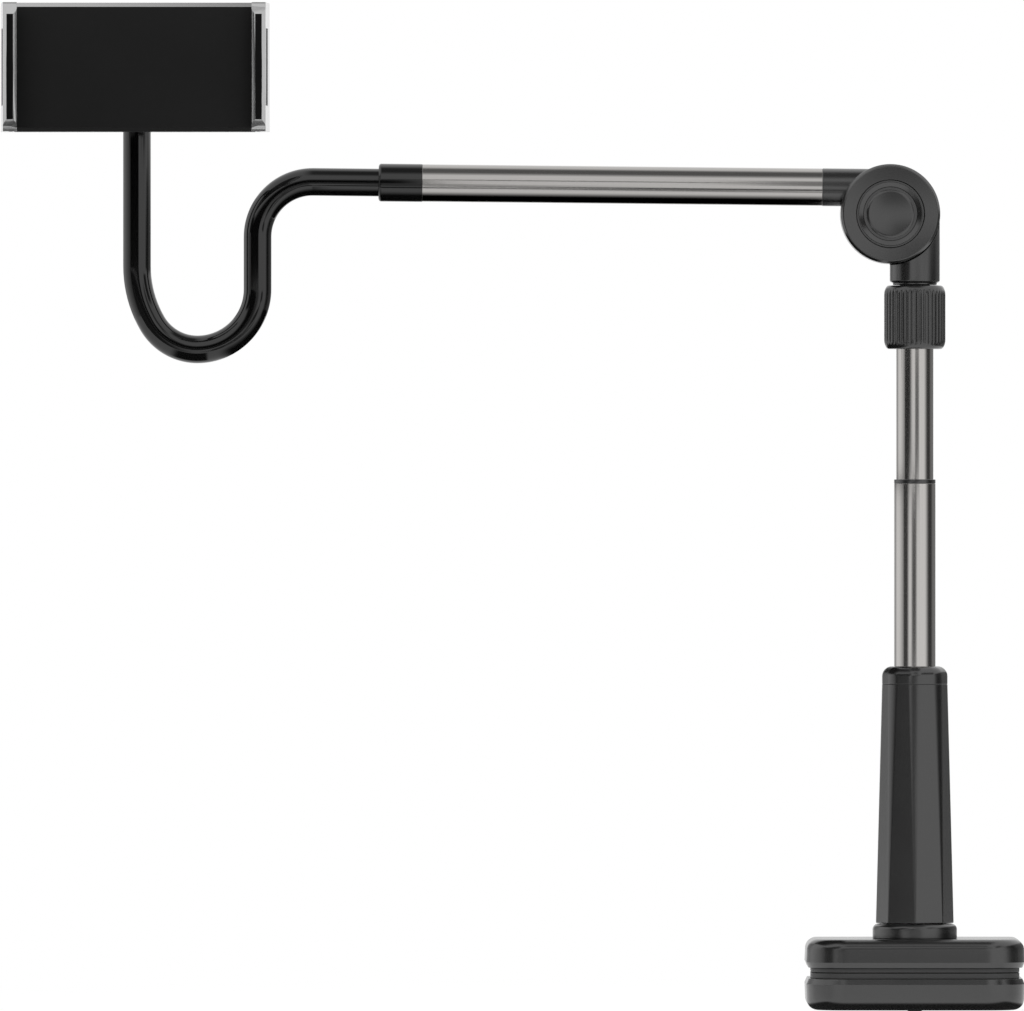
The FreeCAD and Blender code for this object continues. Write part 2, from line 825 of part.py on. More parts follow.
def pivot_spring_washer():
    """The coned washer that keeps the pivot tight."""
    bore = pivot_bolt_r + run_gap
    thick = spring_washer_thick
    rows = [(bore, spring_washer - thick), (bore, spring_washer)]
    rows += [(spring_washer_r, thick), (spring_washer_r, 0)]
    return turned(rows, pivot.add(Y * pivot_web), Y)


def pivot_friction_washer():
    """The washer between the pivot's halves."""
    base = pivot.sub(Y * disc_parting)
    return pipe(friction_r, friction_bore, friction_recess + 2 * disc_parting, base, Y)


def arm_tube():
    """The arm's metal tube."""
    base = pivot.add(Z * arm_offset).sub(X * stub_end)
    return on_arm(pipe(tube_r, tube_r - tube_wall, tube_end - stub_end, base, X * -1))


def arm_sleeve():
    """The end sleeve that holds the gooseneck."""
    axis_point = pivot.add(Z * arm_offset)
    body = rod(sleeve_r, sleeve_end - tube_end, axis_point.sub(X * tube_end), X * -1)
    x_end = pivot_x - sleeve_end
    rim = edges_at(body, V(x_end - touch, -far, -far), V(x_end + touch, far, far))
    body = body.makeFillet(sleeve_edge, rim)
    spigot_start = axis_point.sub(X * (tube_end - arm_spigot))
    body = body.fuse(rod(tube_r - tube_wall - seat_gap, arm_spigot + lap, spigot_start, X * -1))
    bore_start = axis_point.sub(X * (sleeve_end - neck_grip))
    return on_arm(body.cut(rod(goose_r + seat_gap, neck_grip, bore_start, X * -1)))


def goose_plan():
    """The gooseneck's runs and bends: (start, heading in degrees, kind, size, turn)."""
    tilt = math.radians(arm_tilt)
    along = sleeve_end - neck_grip
    start_x = pivot_x - along * math.cos(tilt) + arm_offset * math.sin(tilt)
    start_z = pivot_z + along * math.sin(tilt) + arm_offset * math.cos(tilt)
    exit_sine = math.cos(math.radians(goose_u_exit_turn))
    u_width = goose_u_right_r + goose_u_left_r * exit_sine + goose_u_exit_r * (1 - exit_sine)
    bend_x = cradle_x + u_width + goose_bend_r * (1 + math.sin(tilt))
    first = (start_x - bend_x) / math.cos(tilt)
    bend_z = start_z + first * math.sin(tilt) - goose_bend_r * math.cos(tilt)
    bottom_z = bend_z - goose_drop - goose_u_right_r
    exit_cos = math.sin(math.radians(goose_u_exit_turn))
    leg_z = bottom_z + goose_u_left_r * (1 - exit_cos) + goose_u_exit_r * exit_cos
    third = cradle_z - goose_end_bend_r - leg_z
    moves = [
        ("run", first, 0),
        ("bend", goose_bend_r, 90 + arm_tilt),
        ("run", goose_drop, 0),
        ("bend", goose_u_right_r, -90),
        ("bend", goose_u_left_r, goose_u_exit_turn - 90),
        ("bend", goose_u_exit_r, -goose_u_exit_turn),
        ("run", third, 0),
    ]
    return V(start_x, 0, start_z), 180 - arm_tilt, moves


def gooseneck():
    """The bent flexible tube from the arm to the ball stud."""
    at, heading, moves = goose_plan()
    pieces = []
    for kind, size, turn in moves:
        ahead = V(math.cos(math.radians(heading)), 0, math.sin(math.radians(heading)))
        if kind == "run":
            pieces.append(rod(goose_r, size, at, ahead))
            at = at.add(ahead * size)
            continue
        side = 1 if turn > 0 else -1
        centre = at.add(V(-ahead.z, 0, ahead.x) * (side * size))
        face = Part.Face(Part.Wire([Part.makeCircle(goose_r, at, ahead)]))
        pieces.append(face.revolve(centre, V(0, -1, 0), turn))
        swing = FreeCAD.Rotation(V(0, -1, 0), turn)
        at = centre.add(swing.multVec(at.sub(centre)))
        heading += turn
    face = Part.Face(Part.Wire([Part.makeCircle(goose_r, at, Z)]))
    pieces.append(face.revolve(at.sub(Y * goose_end_bend_r), X, 90))
    end = at.add(V(0, -goose_end_bend_r, goose_end_bend_r))
    pieces.append(rod(goose_r, goose_end_run, end, Y * -1))
    return pieces[0].fuse(pieces[1:])


def ball_stud():
    """The ferrule on the gooseneck with the ball in front of it."""
    back = stud_length + goose_end_run - ferrule_short
    socket_r = goose_r + seat_gap
    rows = [
        (0, 0),
        (ball_neck_r, 0),
        (ball_neck_r, ball_r + ball_neck_end),
        (ferrule_r, stud_length - ferrule_face),
        (ferrule_r, back),
        (socket_r, back),
        (socket_r, stud_length),
        (0, stud_length),
    ]
    return turned(rows, ball, Y).fuse(Part.makeSphere(ball_r, ball))


def ball_seat_ring():
    """The friction ring between the ball and the lock nut."""
    inner = ball_r + run_gap
    height = seat_ring_front - seat_ring_back
    zone = rod(inner + seat_ring_wall, height, ball.add(Y * seat_ring_back), Y)
    return zone.common(Part.makeSphere(inner + seat_ring_wall, ball)).cut(Part.makeSphere(inner, ball))


def ball_lock_nut():
    """The fluted nut that closes the ball's socket."""
    length = ball_nut_front + ball_nut_back
    body = rod(ball_nut_r, length, ball.sub(Y * ball_nut_back), Y)
    reach = ball_nut_r + ball_nut_flute_r - ball_nut_flute_depth
    flutes = []
    for i in range(ball_nut_flutes):
        turn = math.radians(360 * i / ball_nut_flutes)
        base = ball.add(V(reach * math.cos(turn), -ball_nut_back, reach * math.sin(turn)))
        flutes.append(rod(ball_nut_flute_r, length, base, Y))
    body = body.cut(flutes)
    boss_room = ball_nut_back + boss_end + ball_nut_room
    body = body.cut(rod(boss_r + run_gap, boss_room, ball.sub(Y * ball_nut_back), Y))
    return body.cut(Part.makeSphere(ball_r + 2 * run_gap + seat_ring_wall, ball))


def rail_slots():
    """Air in the housing's ends for the claws' rails."""
    rooms = []
    low = rail_y - rail_thick - rail_slack
    high = rail_y + rail_slack
    for z0, z1, side in rail_rows():
        z0 -= rail_slack
        z1 += rail_slack
        x0, x1 = sorted((side * (housing_half_x - housing_wall - lap / 2), side * (housing_half_x + lap)))
        rooms.append(block(x0, x1, low, high, z0, z1))
    room = Part.makeCompound(rooms)
    room.translate(V(cradle_x, 0, cradle_z))
    return room


def rail_rows():
    """Each rail's lower and upper edge from the cradle's middle, and its side."""
    return [
        (fork_inner_z, fork_outer_z, -1),
        (-fork_outer_z, -fork_inner_z, -1),
        (-tongue_half_z, tongue_half_z, 1),
    ]


def spring_rows():
    """Each claw spring's height from the cradle's middle, and its claw's side."""
    fork_z = (fork_inner_z + fork_outer_z) / 2
    return [(fork_z, -1), (-fork_z, -1), (0, 1)]


def cradle_posts():
    """The four corners where the housing is screwed."""
    return [(x, z) for x in (-post_x, post_x) for z in (-post_z, post_z)]


def cradle_back():
    """The housing's back with the ball's socket, rail guides, posts and spring anchors."""
    hx = housing_half_x
    hz = housing_half_z
    body = block(-hx, hx, housing_front_y, housing_back_y, -hz, hz)
    rear = edges_at(body, V(-far, housing_back_y - touch, -far), V(far, housing_back_y + touch, far))
    body = body.makeChamfer(housing_edge, rear)
    floor_y = housing_back_y - housing_floor
    inner_x = hx - housing_wall
    inner_z = hz - housing_wall
    body = body.cut(block(-inner_x, inner_x, housing_front_y, floor_y, -inner_z, inner_z))
    guide_z = (tongue_half_z + fork_inner_z) / 2
    root_y = floor_y + lap / 2
    for z in (-guide_z, guide_z):
        body = body.fuse(block(-inner_x, inner_x, housing_front_y, root_y, z - guide_half, z + guide_half))
    rib_x = hx - side_rib_end
    rib_z = fork_outer_z + side_rib_gap
    for z in (-rib_z - side_rib, rib_z):
        body = body.fuse(block(-rib_x, rib_x, housing_front_y, root_y, z, z + side_rib))
    rest_y = rail_y + rail_slack
    rest_z = fork_outer_z + lap
    for i in range(rest_rib_pairs):
        for x in (-rest_rib_pitch * (i + 1), rest_rib_pitch * (i + 1)):
            body = body.fuse(block(x - rest_rib_half, x + rest_rib_half, rest_y, root_y, -rest_z, rest_z))
    for x, z in cradle_posts():
        body = body.fuse(rod(post_r, floor_y - housing_front_y, V(x, floor_y, z), Y * -1))
    for z, side in spring_rows():
        anchor = V(-side * claw_spring_anchor_x, floor_y, z)
        body = body.fuse(rod(anchor_post_r, floor_y - rest_y, anchor, Y * -1))
        body = body.fuse(rod(anchor_r, floor_y - housing_front_y - anchor_room, anchor, Y * -1))
    body = body.fuse(rod(boss_inner_r, boss_inner - ball_y + floor_y, V(0, floor_y, 0), Y * -1))
    boss_foot = V(0, housing_back_y - lap, 0)
    body = body.fuse(rod(boss_r, ball_y + boss_end - boss_foot.y, boss_foot, Y))
    body = body.cut(Part.makeSphere(ball_r + run_gap, V(0, ball_y, 0)))
    room_r = ball_r + 2 * run_gap + seat_ring_wall
    room = Part.makeSphere(room_r, V(0, ball_y, 0))
    body = body.cut(room.common(rod(boss_r, 2 * room_r, V(0, ball_y - boss_step, 0), Y)))
    for x, z in cradle_posts():
        body = body.cut(rod(screw_r, screw_length, V(x, housing_back_y, z), Y * -1))
        body = body.cut(rod(screw_head_r + seat_gap, screw_head, V(x, housing_back_y, z), Y * -1))
    body.translate(V(cradle_x, 0, cradle_z))
    return body.cut(rail_slots())


def cradle_panel():
    """The plain front panel, bevelled along its top and bottom."""
    hx = housing_half_x
    hz = housing_half_z
    back = housing_front_y
    front = panel_front_y
    rows = [
        V(-hx, back, -hz),
        V(-hx, front + panel_bevel_y, -hz),
        V(-hx, front, -hz + panel_bevel_z),
        V(-hx, front, hz - panel_bevel_z),
        V(-hx, front + panel_bevel_y, hz),
        V(-hx, back, hz),
    ]
    body = extruded(rows, X * (2 * hx))
    body.translate(V(cradle_x, 0, cradle_z))
    return body


def cradle_screws():
    """The screws in the housing's back."""
    screws = []
    for x, z in cradle_posts():
        base = V(cradle_x + x, housing_back_y, cradle_z + z)
        screw = rod(screw_r - seat_gap, screw_length, base, Y * -1)
        screw = screw.fuse(rod(screw_head_r, screw_head, base, Y * -1))
        for half_x, half_z in ((cross_half, cross_slot_half), (cross_slot_half, cross_half)):
            slot = block(-half_x, half_x, -cross_depth, 0, -half_z, half_z)
            slot.translate(base)
            screw = screw.cut(slot)
        screws.append(screw)
    return Part.makeCompound(screws)


def claw_shell():
    """A right-hand claw without rails, around the cradle's middle."""
    hz = housing_half_z
    lip_back = claw_front_y + claw_lip
    wall_x = claw_outer_x - claw_wall
    foot_x = housing_half_x + air_gap
    foot_y = panel_front_y + air_gap / 2
    rows = [
        (claw_inner_x + claw_inner_bevel, claw_front_y),
        (claw_side_x - claw_outer_bevel, claw_front_y),
        (claw_side_x, claw_front_y + claw_outer_bevel_y),
        (claw_outer_x, claw_back_y),
        (foot_x, claw_back_y),
        (foot_x, foot_y),
        (wall_x, foot_y),
        (wall_x, lip_back),
        (claw_inner_x, lip_back),
        (claw_inner_x, claw_front_y + claw_inner_bevel_y),
    ]
    body = extruded([V(x, y, -hz) for x, y in rows], Z * (2 * hz))
    for sign in (-1, 1):
        end = extruded(
            [
                V(claw_inner_x, claw_front_y, sign * band_half_z),
                V(claw_inner_x, claw_front_y + claw_end_bevel_y, sign * (band_half_z + claw_end_bevel)),
                V(claw_inner_x, claw_front_y + claw_end_bevel_y, sign * (hz + lap)),
                V(claw_inner_x, claw_front_y, sign * (hz + lap)),
            ],
            X * (claw_outer_x - claw_inner_x),
        )
        body = body.cut(end)
    return body


def claw(side):
    """A claw with its rails, for the left (-1) or the right (1)."""
    body = claw_shell()
    body = body.cut(band_block(claw_front_y + band_recess))
    body = body.cut(grip_block(0, grip_recess + lap))
    if side < 0:
        body = mirrored(body, 0)
    foot = side * rail_foot_x
    for z0, z1, rail_side in rail_rows():
        if rail_side != side:
            continue
        x0, x1 = sorted((foot, foot - side * rail_length))
        body = body.fuse(block(x0, x1, rail_y - rail_thick, rail_y, z0, z1))
        hook_x = foot - side * (rail_length - claw_spring_inset)
        hook = V(hook_x, rail_y - rail_thick, (z0 + z1) / 2)
        body = body.fuse(rod(anchor_r, hook.y - housing_front_y - anchor_room, hook, Y * -1))
    body.translate(V(cradle_x, 0, cradle_z))
    return body


def band_block(back_y):
    """The inlay band's room or body in a right-hand lip, from back_y forward."""
    x0 = claw_inner_x + claw_inner_bevel + band_gap
    x1 = claw_side_x - claw_outer_bevel - band_gap
    return block(x0, x1, claw_front_y - band_proud, back_y, -band_half_z, band_half_z)


def grip_block(low, high):
    """The side grip's room or body on a right-hand claw, between two heights over the pocket's floor."""
    room = block(low, high, -grip_half_y, grip_half_y, -grip_half_z, grip_half_z)
    slope = math.atan2(claw_side_draft, claw_back_y - claw_front_y - claw_outer_bevel_y)
    room.rotate(V(0, 0, 0), Z, -math.degrees(slope))
    middle_y = claw_back_y - grip_back - grip_half_y
    floor_x = claw_outer_x - (claw_back_y - middle_y) * math.tan(slope) - grip_recess
    room.translate(V(floor_x, middle_y, 0))
    return room


def placed(shape, side):
    """A right-hand piece put on the left (-1) or right (1) of the cradle."""
    if side < 0:
        shape = mirrored(shape, 0)
    shape.translate(V(cradle_x, 0, cradle_z))
    return shape


def claw_grip():
    """The dark grip in the pocket of a claw's outer side."""
    body = grip_block(0, grip_thick)
    face = max(body.Faces, key=lambda f: f.CenterOfMass.x)
    return body.makeChamfer(grip_edge, face.Edges)


def claw_pad():
    """The soft lining inside a claw."""
    hz = housing_half_z - claw_end_frame
    lip_back = claw_front_y + claw_lip
    wall_x = claw_outer_x - claw_wall
    front = panel_front_y - air_gap
    wall = block(wall_x - claw_pad_wall, wall_x, lip_back, front, -hz, hz)
    lip_x = claw_inner_x + claw_pad_inset
    return wall.fuse(block(lip_x, wall_x, lip_back, lip_back + claw_pad_lip, -hz, hz))


def claw_spring(z, side):
    """A tension spring from a rail's hook to its anchor in the housing."""
    hook_x = side * (rail_foot_x - rail_length + claw_spring_inset)
    x0, x1 = sorted((hook_x, -side * claw_spring_anchor_x))
    wire_r = claw_spring_wire_r
    eye = anchor_r + wire_r + claw_spring_eye_gap
    y = (rail_y - rail_thick + housing_front_y) / 2
    start = V(x0 + eye + claw_spring_shank, y, z)
    pitch = (x1 - eye - claw_spring_shank - start.x) / claw_spring_turns
    body = coil(claw_spring_r, wire_r, pitch, claw_spring_turns, start, X)
    first_turn = FreeCAD.Rotation(Z, X).multVec(X * claw_spring_r)
    for x, away in ((x0, 1), (x1, -1)):
        body = body.fuse(Part.makeTorus(eye, wire_r, V(x, y, z), Y))
        body = body.fuse(rod(wire_r, claw_spring_shank, V(x + away * eye, y, z), X * away))
        turn_end = V(x + away * (eye + claw_spring_shank), y, z)
        body = body.fuse(rod(wire_r, claw_spring_r, turn_end, first_turn))
        body = body.fuse(Part.makeSphere(wire_r, turn_end))
    body.translate(V(cradle_x, 0, cradle_z))
    return body


os.makedirs("parts", exist_ok=True)
half_parting = pad_parting / 2
save("upper_jaw", upper_jaw())
save("lower_jaw", lower_jaw())
save("upper_jaw_pad", jaw_pad(half_parting, upper_jaw_bottom))
save("lower_jaw_pad", jaw_pad(lower_jaw_top, -half_parting))
save("jaw_hinge_pin", hinge_pin())
save("jaw_spring", jaw_spring())
save("lower_jaw_screw", foot_screw())
save("swivel_collar", swivel_collar())
save("swivel_friction_washer", swivel_friction_washer())
save("swivel_bolt", swivel_bolt())
save("swivel_nut", swivel_nut_piece())
save("swivel_washer", swivel_washer())
save("column_body", column_body())
save("column_cap", column_cap())
save("lower_tube", lower_tube())
save("lower_tube_ring", lower_tube_ring())
save("lower_tube_bush", lower_tube_bush())
save("upper_tube", upper_tube())
save("upper_tube_bush", upper_tube_bush())
save("collet", collet())
save("lock_knob", lock_knob())
save("elbow", elbow())
save("arm_hub", arm_hub())
save("pivot_ring", pivot_ring())
save("pivot_cap", on_arm(cap_disc(Y * -1)))
save("pivot_rear_cap", cap_disc(Y))
save("pivot_bolt", pivot_bolt())
save("pivot_nut", pivot_nut_piece())
save("pivot_spring_washer", pivot_spring_washer())
save("pivot_friction_washer", pivot_friction_washer())
save("arm_tube", arm_tube())
save("arm_sleeve", arm_sleeve())
save("gooseneck", gooseneck())
save("ball_stud", ball_stud())
save("ball_seat_ring", ball_seat_ring())
save("ball_lock_nut", ball_lock_nut())
save("cradle_back", cradle_back())
save("cradle_panel", cradle_panel())
save("cradle_screws", cradle_screws())
for side_name, side in (("left", -1), ("right", 1)):
    save("claw_" + side_name, claw(side))
    save("claw_pad_" + side_name, placed(claw_pad(), side))
    save("claw_grip_" + side_name, placed(claw_grip(), side))
    save("claw_band_" + side_name, placed(band_block(claw_front_y + band_recess), side))
spring_names = ("claw_spring_left_upper", "claw_spring_left_lower", "claw_spring_right")
for spring_name, row in zip(spring_names, spring_rows()):
    save(spring_name, claw_spring(row[0], row[1]))
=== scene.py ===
import math

import bmesh
import bpy
from mathutils import Matrix, Vector
from mathutils.bvhtree import BVHTree


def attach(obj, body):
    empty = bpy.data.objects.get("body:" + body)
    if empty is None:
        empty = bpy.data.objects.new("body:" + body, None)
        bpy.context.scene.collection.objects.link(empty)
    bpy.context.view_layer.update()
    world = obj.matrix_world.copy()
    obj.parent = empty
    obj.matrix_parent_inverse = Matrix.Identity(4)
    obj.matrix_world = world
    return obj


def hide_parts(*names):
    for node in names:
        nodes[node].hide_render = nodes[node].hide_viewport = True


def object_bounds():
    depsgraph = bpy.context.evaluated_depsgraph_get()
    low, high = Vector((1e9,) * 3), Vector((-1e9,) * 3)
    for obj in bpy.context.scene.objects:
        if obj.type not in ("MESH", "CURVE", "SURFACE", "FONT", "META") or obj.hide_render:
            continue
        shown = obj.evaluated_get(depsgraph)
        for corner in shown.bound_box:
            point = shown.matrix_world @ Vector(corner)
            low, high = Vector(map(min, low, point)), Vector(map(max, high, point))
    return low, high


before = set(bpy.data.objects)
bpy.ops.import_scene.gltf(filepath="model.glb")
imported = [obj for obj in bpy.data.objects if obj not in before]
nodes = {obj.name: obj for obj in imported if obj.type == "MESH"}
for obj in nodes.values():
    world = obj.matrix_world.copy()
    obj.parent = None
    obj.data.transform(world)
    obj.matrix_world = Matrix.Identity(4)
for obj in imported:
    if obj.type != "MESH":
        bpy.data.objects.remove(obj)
cadLow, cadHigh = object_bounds()
mm = 0.001
print("frame loaded:", len(nodes), "nodes")


class Flow:
    # a shader socket that takes part in plain Python sums
    def __init__(self, tree, socket):
        self.tree = tree
        self.socket = socket

    def node(self, kind, settings, sockets, output=0):
        made = self.tree.nodes.new(kind)
        for name, value in settings.items():
            setattr(made, name, value)
        for name, value in sockets.items():
            if isinstance(value, Flow):
                self.tree.links.new(value.socket, made.inputs[name])
            else:
                made.inputs[name].default_value = value
        return Flow(self.tree, made.outputs[output])

    def maths(self, operation, first, second):
        return self.node("ShaderNodeMath", {"operation": operation}, {0: first, 1: second})

    def __add__(self, other):
        return self.maths("ADD", self, other)

    def __mul__(self, other):
        return self.maths("MULTIPLY", self, other)

    def __rsub__(self, other):
        return self.maths("SUBTRACT", other, self)

    __radd__ = __add__
    __rmul__ = __mul__

    def blend(self, dark, light):
        mixed = {"data_type": "RGBA"}
        return self.node("ShaderNodeMix", mixed, {0: self, 6: (*dark, 1), 7: (*light, 1)}, 2)

    def noise(self, scale, detail=2.0, rough=0.5):
        settings = {"Vector": self, "Scale": scale, "Detail": detail, "Roughness": rough}
        return self.node("ShaderNodeTexNoise", {}, settings)

    def stretched(self, scale):
        return self.node("ShaderNodeMapping", {}, {0: self, 3: scale})

    def bumped(self, strength, depth):
        return self.node("ShaderNodeBump", {}, {"Strength": strength, "Distance": depth, "Height": self})

    def ease(self, start, end):
        # from 0 at the start to 1 at the end
        ends = {"Value": self, "From Min": start, "From Max": end, "To Min": 0.0, "To Max": 1.0}
        return self.node("ShaderNodeMapRange", {"interpolation_type": "SMOOTHSTEP"}, ends)

    def part(self, axis):
        return self.node("ShaderNodeSeparateXYZ", {}, {0: self}, axis)

    def feed(self, shader, name):
        self.tree.links.new(self.socket, shader.inputs[name])


def emptied(owner):
    # the node tree of a new material or world, without its first nodes
    owner.use_nodes = True
    owner.node_tree.nodes.clear()
    return owner.node_tree


def linked(name, data):
    made = bpy.data.objects.new(name, data)
    bpy.context.scene.collection.objects.link(made)
    return made


def newFinish(name, fixed):
    material = bpy.data.materials.new(name)
    tree = emptied(material)
    shader = tree.nodes.new("ShaderNodeBsdfPrincipled")
    output = tree.nodes.new("ShaderNodeOutputMaterial")
    tree.links.new(shader.outputs[0], output.inputs[0])
    for socket, value in fixed.items():
        shader.inputs[socket].default_value = value
    place = Flow(tree, tree.nodes.new("ShaderNodeTexCoord").outputs["Object"])
    return material, shader, place


def grey(shade, warmth=0.0):
    return (shade * (1 + warmth), shade, shade * (1 - warmth))


def varyShade(shader, look, mask):
    warmth = look.get("warmth", 0.0)
    mask.blend(grey(look["dark"], warmth), grey(look["light"], warmth)).feed(shader, "Base Color")


def varyRoughness(shader, look, mask):
    spread = look["roughHigh"] - look["roughLow"]
    (look["roughLow"] + spread * mask).feed(shader, "Roughness")


mouldedPlastic = {
    "dark": 0.0060, "light": 0.0085,    # linear greys between which the moulding varies
    "warmth": 0.01,
    "gloss": 1.0,                       # specular level
    "roughLow": 0.18, "roughHigh": 0.24,
    "grain": 2600, "grainDepth": 0.02 * mm, "bump": 0.35,
    "cloud": 35,
}


def charcoalPlastic(name, look):
    material, shader, place = newFinish(name, {"Specular IOR Level": look["gloss"]})
    cloud = place.noise(look["cloud"], detail=3)
    varyShade(shader, look, cloud)
    varyRoughness(shader, look, cloud)
    place.noise(look["grain"]).bumped(look["bump"], look["grainDepth"]).feed(shader, "Normal")
    return material


glossSkin = {
    "dark": 0.0016, "light": 0.0026,
    "gloss": 0.62,
    "roughLow": 0.05, "roughHigh": 0.10,
    "wave": 55, "waveDepth": 0.05 * mm, "bump": 0.3,
    "smear": 14,
}


def glossBlack(name, look):
    material, shader, place = newFinish(name, {"Specular IOR Level": look["gloss"]})
    smear = place.noise(look["smear"], detail=4, rough=0.6)
    varyShade(shader, look, smear)
    varyRoughness(shader, look, smear)
    wave = place.noise(look["wave"], detail=1)
    wave.bumped(look["bump"], look["waveDepth"]).feed(shader, "Normal")
    return material


bandSkin = {
    "dark": 0.0022, "light": 0.0030,
    "gloss": 0.12,
    "roughLow": 0.35, "roughHigh": 0.45,
    "grain": 2400, "grainDepth": 0.02 * mm, "bump": 0.3,
    "cloud": 22,
}

panelSkin = {
    "dark": 0.0032, "light": 0.0044,
    "gloss": 0.30,
    "roughLow": 0.40, "roughHigh": 0.48,
    "grain": 3200, "grainDepth": 0.015 * mm, "bump": 0.3,
    "cloud": 22,
}


def satinBlack(name, look):
    material, shader, place = newFinish(name, {"Specular IOR Level": look["gloss"]})
    cloud = place.noise(look["cloud"], detail=3)
    varyShade(shader, look, cloud)
    varyRoughness(shader, look, cloud)
    place.noise(look["grain"]).bumped(look["bump"], look["grainDepth"]).feed(shader, "Normal")
    return material


drawnTube = {
    "dark": 0.46, "light": 0.53, "warmth": 0.03,
    "roughLow": 0.10, "roughHigh": 0.16,
    "across": 2400, "along": 5,           # streaks per metre across and along the draw
    "lineDepth": 0.004 * mm, "bump": 0.25,
}
# the arm's copy of the drawn tube is the same metal made darker: painted shade, so that its reflections come
# out dimmer than the mast's
drawnArmShaded = {**drawnTube, "dark": 0.39, "light": 0.45}


def gunmetal(name, look, alongAxis):
    material, shader, place = newFinish(name, {"Metallic": 1.0})
    scale = [look["across"]] * 3
    scale[alongAxis] = look["along"]
    streak = place.stretched(scale).noise(1.0, detail=3, rough=0.6)
    varyShade(shader, look, streak)
    varyRoughness(shader, look, streak)
    streak.bumped(look["bump"], look["lineDepth"]).feed(shader, "Normal")
    return material


platedGrey = {
    "dark": 0.43, "light": 0.50,
    "roughLow": 0.10, "roughHigh": 0.15,
    "metal": 0.9,
    "flake": 5200, "cloud": 30,
}


def clawGrey(name, look):
    material, shader, place = newFinish(name, {"Metallic": look["metal"]})
    varyShade(shader, look, place.noise(look["flake"]))
    varyRoughness(shader, look, place.noise(look["cloud"], detail=3))
    return material


softRubber = {
    "dark": 0.019, "light": 0.025,
    "gloss": 0.6,
    "roughLow": 0.48, "roughHigh": 0.60,
    "grain": 1500, "grainDepth": 0.05 * mm, "bump": 0.4,
    "cloud": 40,
}


def rubber(name, look):
    material, shader, place = newFinish(name, {"Specular IOR Level": look["gloss"]})
    cloud = place.noise(look["cloud"], detail=3)
    varyShade(shader, look, cloud)
    varyRoughness(shader, look, cloud)
    place.noise(look["grain"]).bumped(look["bump"], look["grainDepth"]).feed(shader, "Normal")
    return material


turnedSteel = {"dark": 0.42, "light": 0.55, "roughLow": 0.22, "roughHigh": 0.34, "scratch": 900}


def steel(name, look):
    material, shader, place = newFinish(name, {"Metallic": 1.0})
    scratch = place.noise(look["scratch"], detail=4, rough=0.7)
    varyShade(shader, look, scratch)
    varyRoughness(shader, look, scratch)
    return material


naturalNylon = {
    "dark": 0.62, "light": 0.70, "warmth": 0.03,
    "gloss": 0.45,
    "roughLow": 0.40, "roughHigh": 0.52,
    "cloud": 120,
}


def nylon(name, look):
    material, shader, place = newFinish(name, {"Specular IOR Level": look["gloss"]})
    cloud = place.noise(look["cloud"], detail=3)
    varyShade(shader, look, cloud)
    varyRoughness(shader, look, cloud)
    return material


finishes = {
    "black_plastic": charcoalPlastic("charcoalPlastic", mouldedPlastic),
    "nylon": nylon("naturalNylon", naturalNylon),
    "tube_metal": gunmetal("drawnTube", drawnTube, 2),
    "gloss_black": glossBlack("glossBlack", glossSkin),
    "gooseneck_skin": glossBlack("gooseneckSkin", glossSkin),
    "claw_grey": clawGrey("clawGrey", platedGrey),
    "rubber": rubber("softRubber", softRubber),
    "steel": steel("turnedSteel", turnedSteel),
}
# the arm's tube metal, streaked along x and darker than the mast's as painted shade
shadedArmMetal = gunmetal("drawnArmTubeShaded", drawnArmShaded, 0)
panelBlack = satinBlack("panelBlack", panelSkin)
bandBlack = satinBlack("bandBlack", bandSkin)
print("finishes made:", len([*finishes, shadedArmMetal, panelBlack, bandBlack]))

# every CAD node takes the finish of its slot in the record, or its own
ownFinish = {"arm_tube": shadedArmMetal, "cradle_panel": panelBlack}
for name, node in nodes.items():
    slotName = node.data.materials[0].name
    node.data.materials[0] = ownFinish.get(name) or finishes[slotName]
print("CAD nodes finished:", len(nodes))


# how near points are merged, and how near to a height or a bore counts as at it, millimetres
slack = {"weld": 0.0005, "cadWeld": 0.003, "loop": 0.001, "rim": 0.01, "ring": 0.02, "bore": 1.0}


def finishPiece(name, bm, finish, body, replaced, sharp=35):
    # from millimetres in a bmesh to a metre-sized object that rides on its body
    bmesh.ops.remove_doubles(bm, verts=bm.verts, dist=slack["weld"])
    bmesh.ops.recalc_face_normals(bm, faces=bm.faces)
    for face in bm.faces:
        face.smooth = True
    for edge in bm.edges:
        edge.smooth = edge.calc_face_angle(0.0) < math.radians(sharp)
    bmesh.ops.scale(bm, vec=(mm, mm, mm), verts=bm.verts)
    mesh = bpy.data.meshes.new(name)
    bm.to_mesh(mesh)
    bm.free()
    for each in finish if isinstance(finish, list) else [finish]:
        mesh.materials.append(each)
    piece = linked(name, mesh)
    even = piece.modifiers.new("evenShading", "WEIGHTED_NORMAL")
    even.keep_sharp = True
    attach(piece, body)
    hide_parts(*replaced)
    print("piece", name, len(mesh.polygons), "faces")


def bevelEdges(bm, edges, width, steps, clamp=True):
    bmesh.ops.bevel(bm, geom=edges, offset=width, offset_type="OFFSET", affect="EDGES",
                    segments=steps, profile=0.5, material=-1, clamp_overlap=clamp)


def sharpEdges(bm, above=30):
    limit = math.radians(above)
    return [edge for edge in bm.edges if edge.is_manifold and edge.calc_face_angle() > limit]


def lathe(rows, steps, closed=True):
    # a (radius, height) line turned about the z axis
    bm = bmesh.new()
    points = [bm.verts.new((radius, 0, height)) for radius, height in rows]
    line = [bm.edges.new(pair) for pair in zip(points, points[1:])]
    if closed:
        line.append(bm.edges.new((points[-1], points[0])))
    bmesh.ops.spin(bm, geom=points + line, cent=(0, 0, 0), axis=(0, 0, 1),
                   angle=2 * math.pi, steps=steps, use_merge=True)
    bmesh.ops.remove_doubles(bm, verts=bm.verts, dist=slack["weld"])
    bmesh.ops.recalc_face_normals(bm, faces=bm.faces)
    return bm


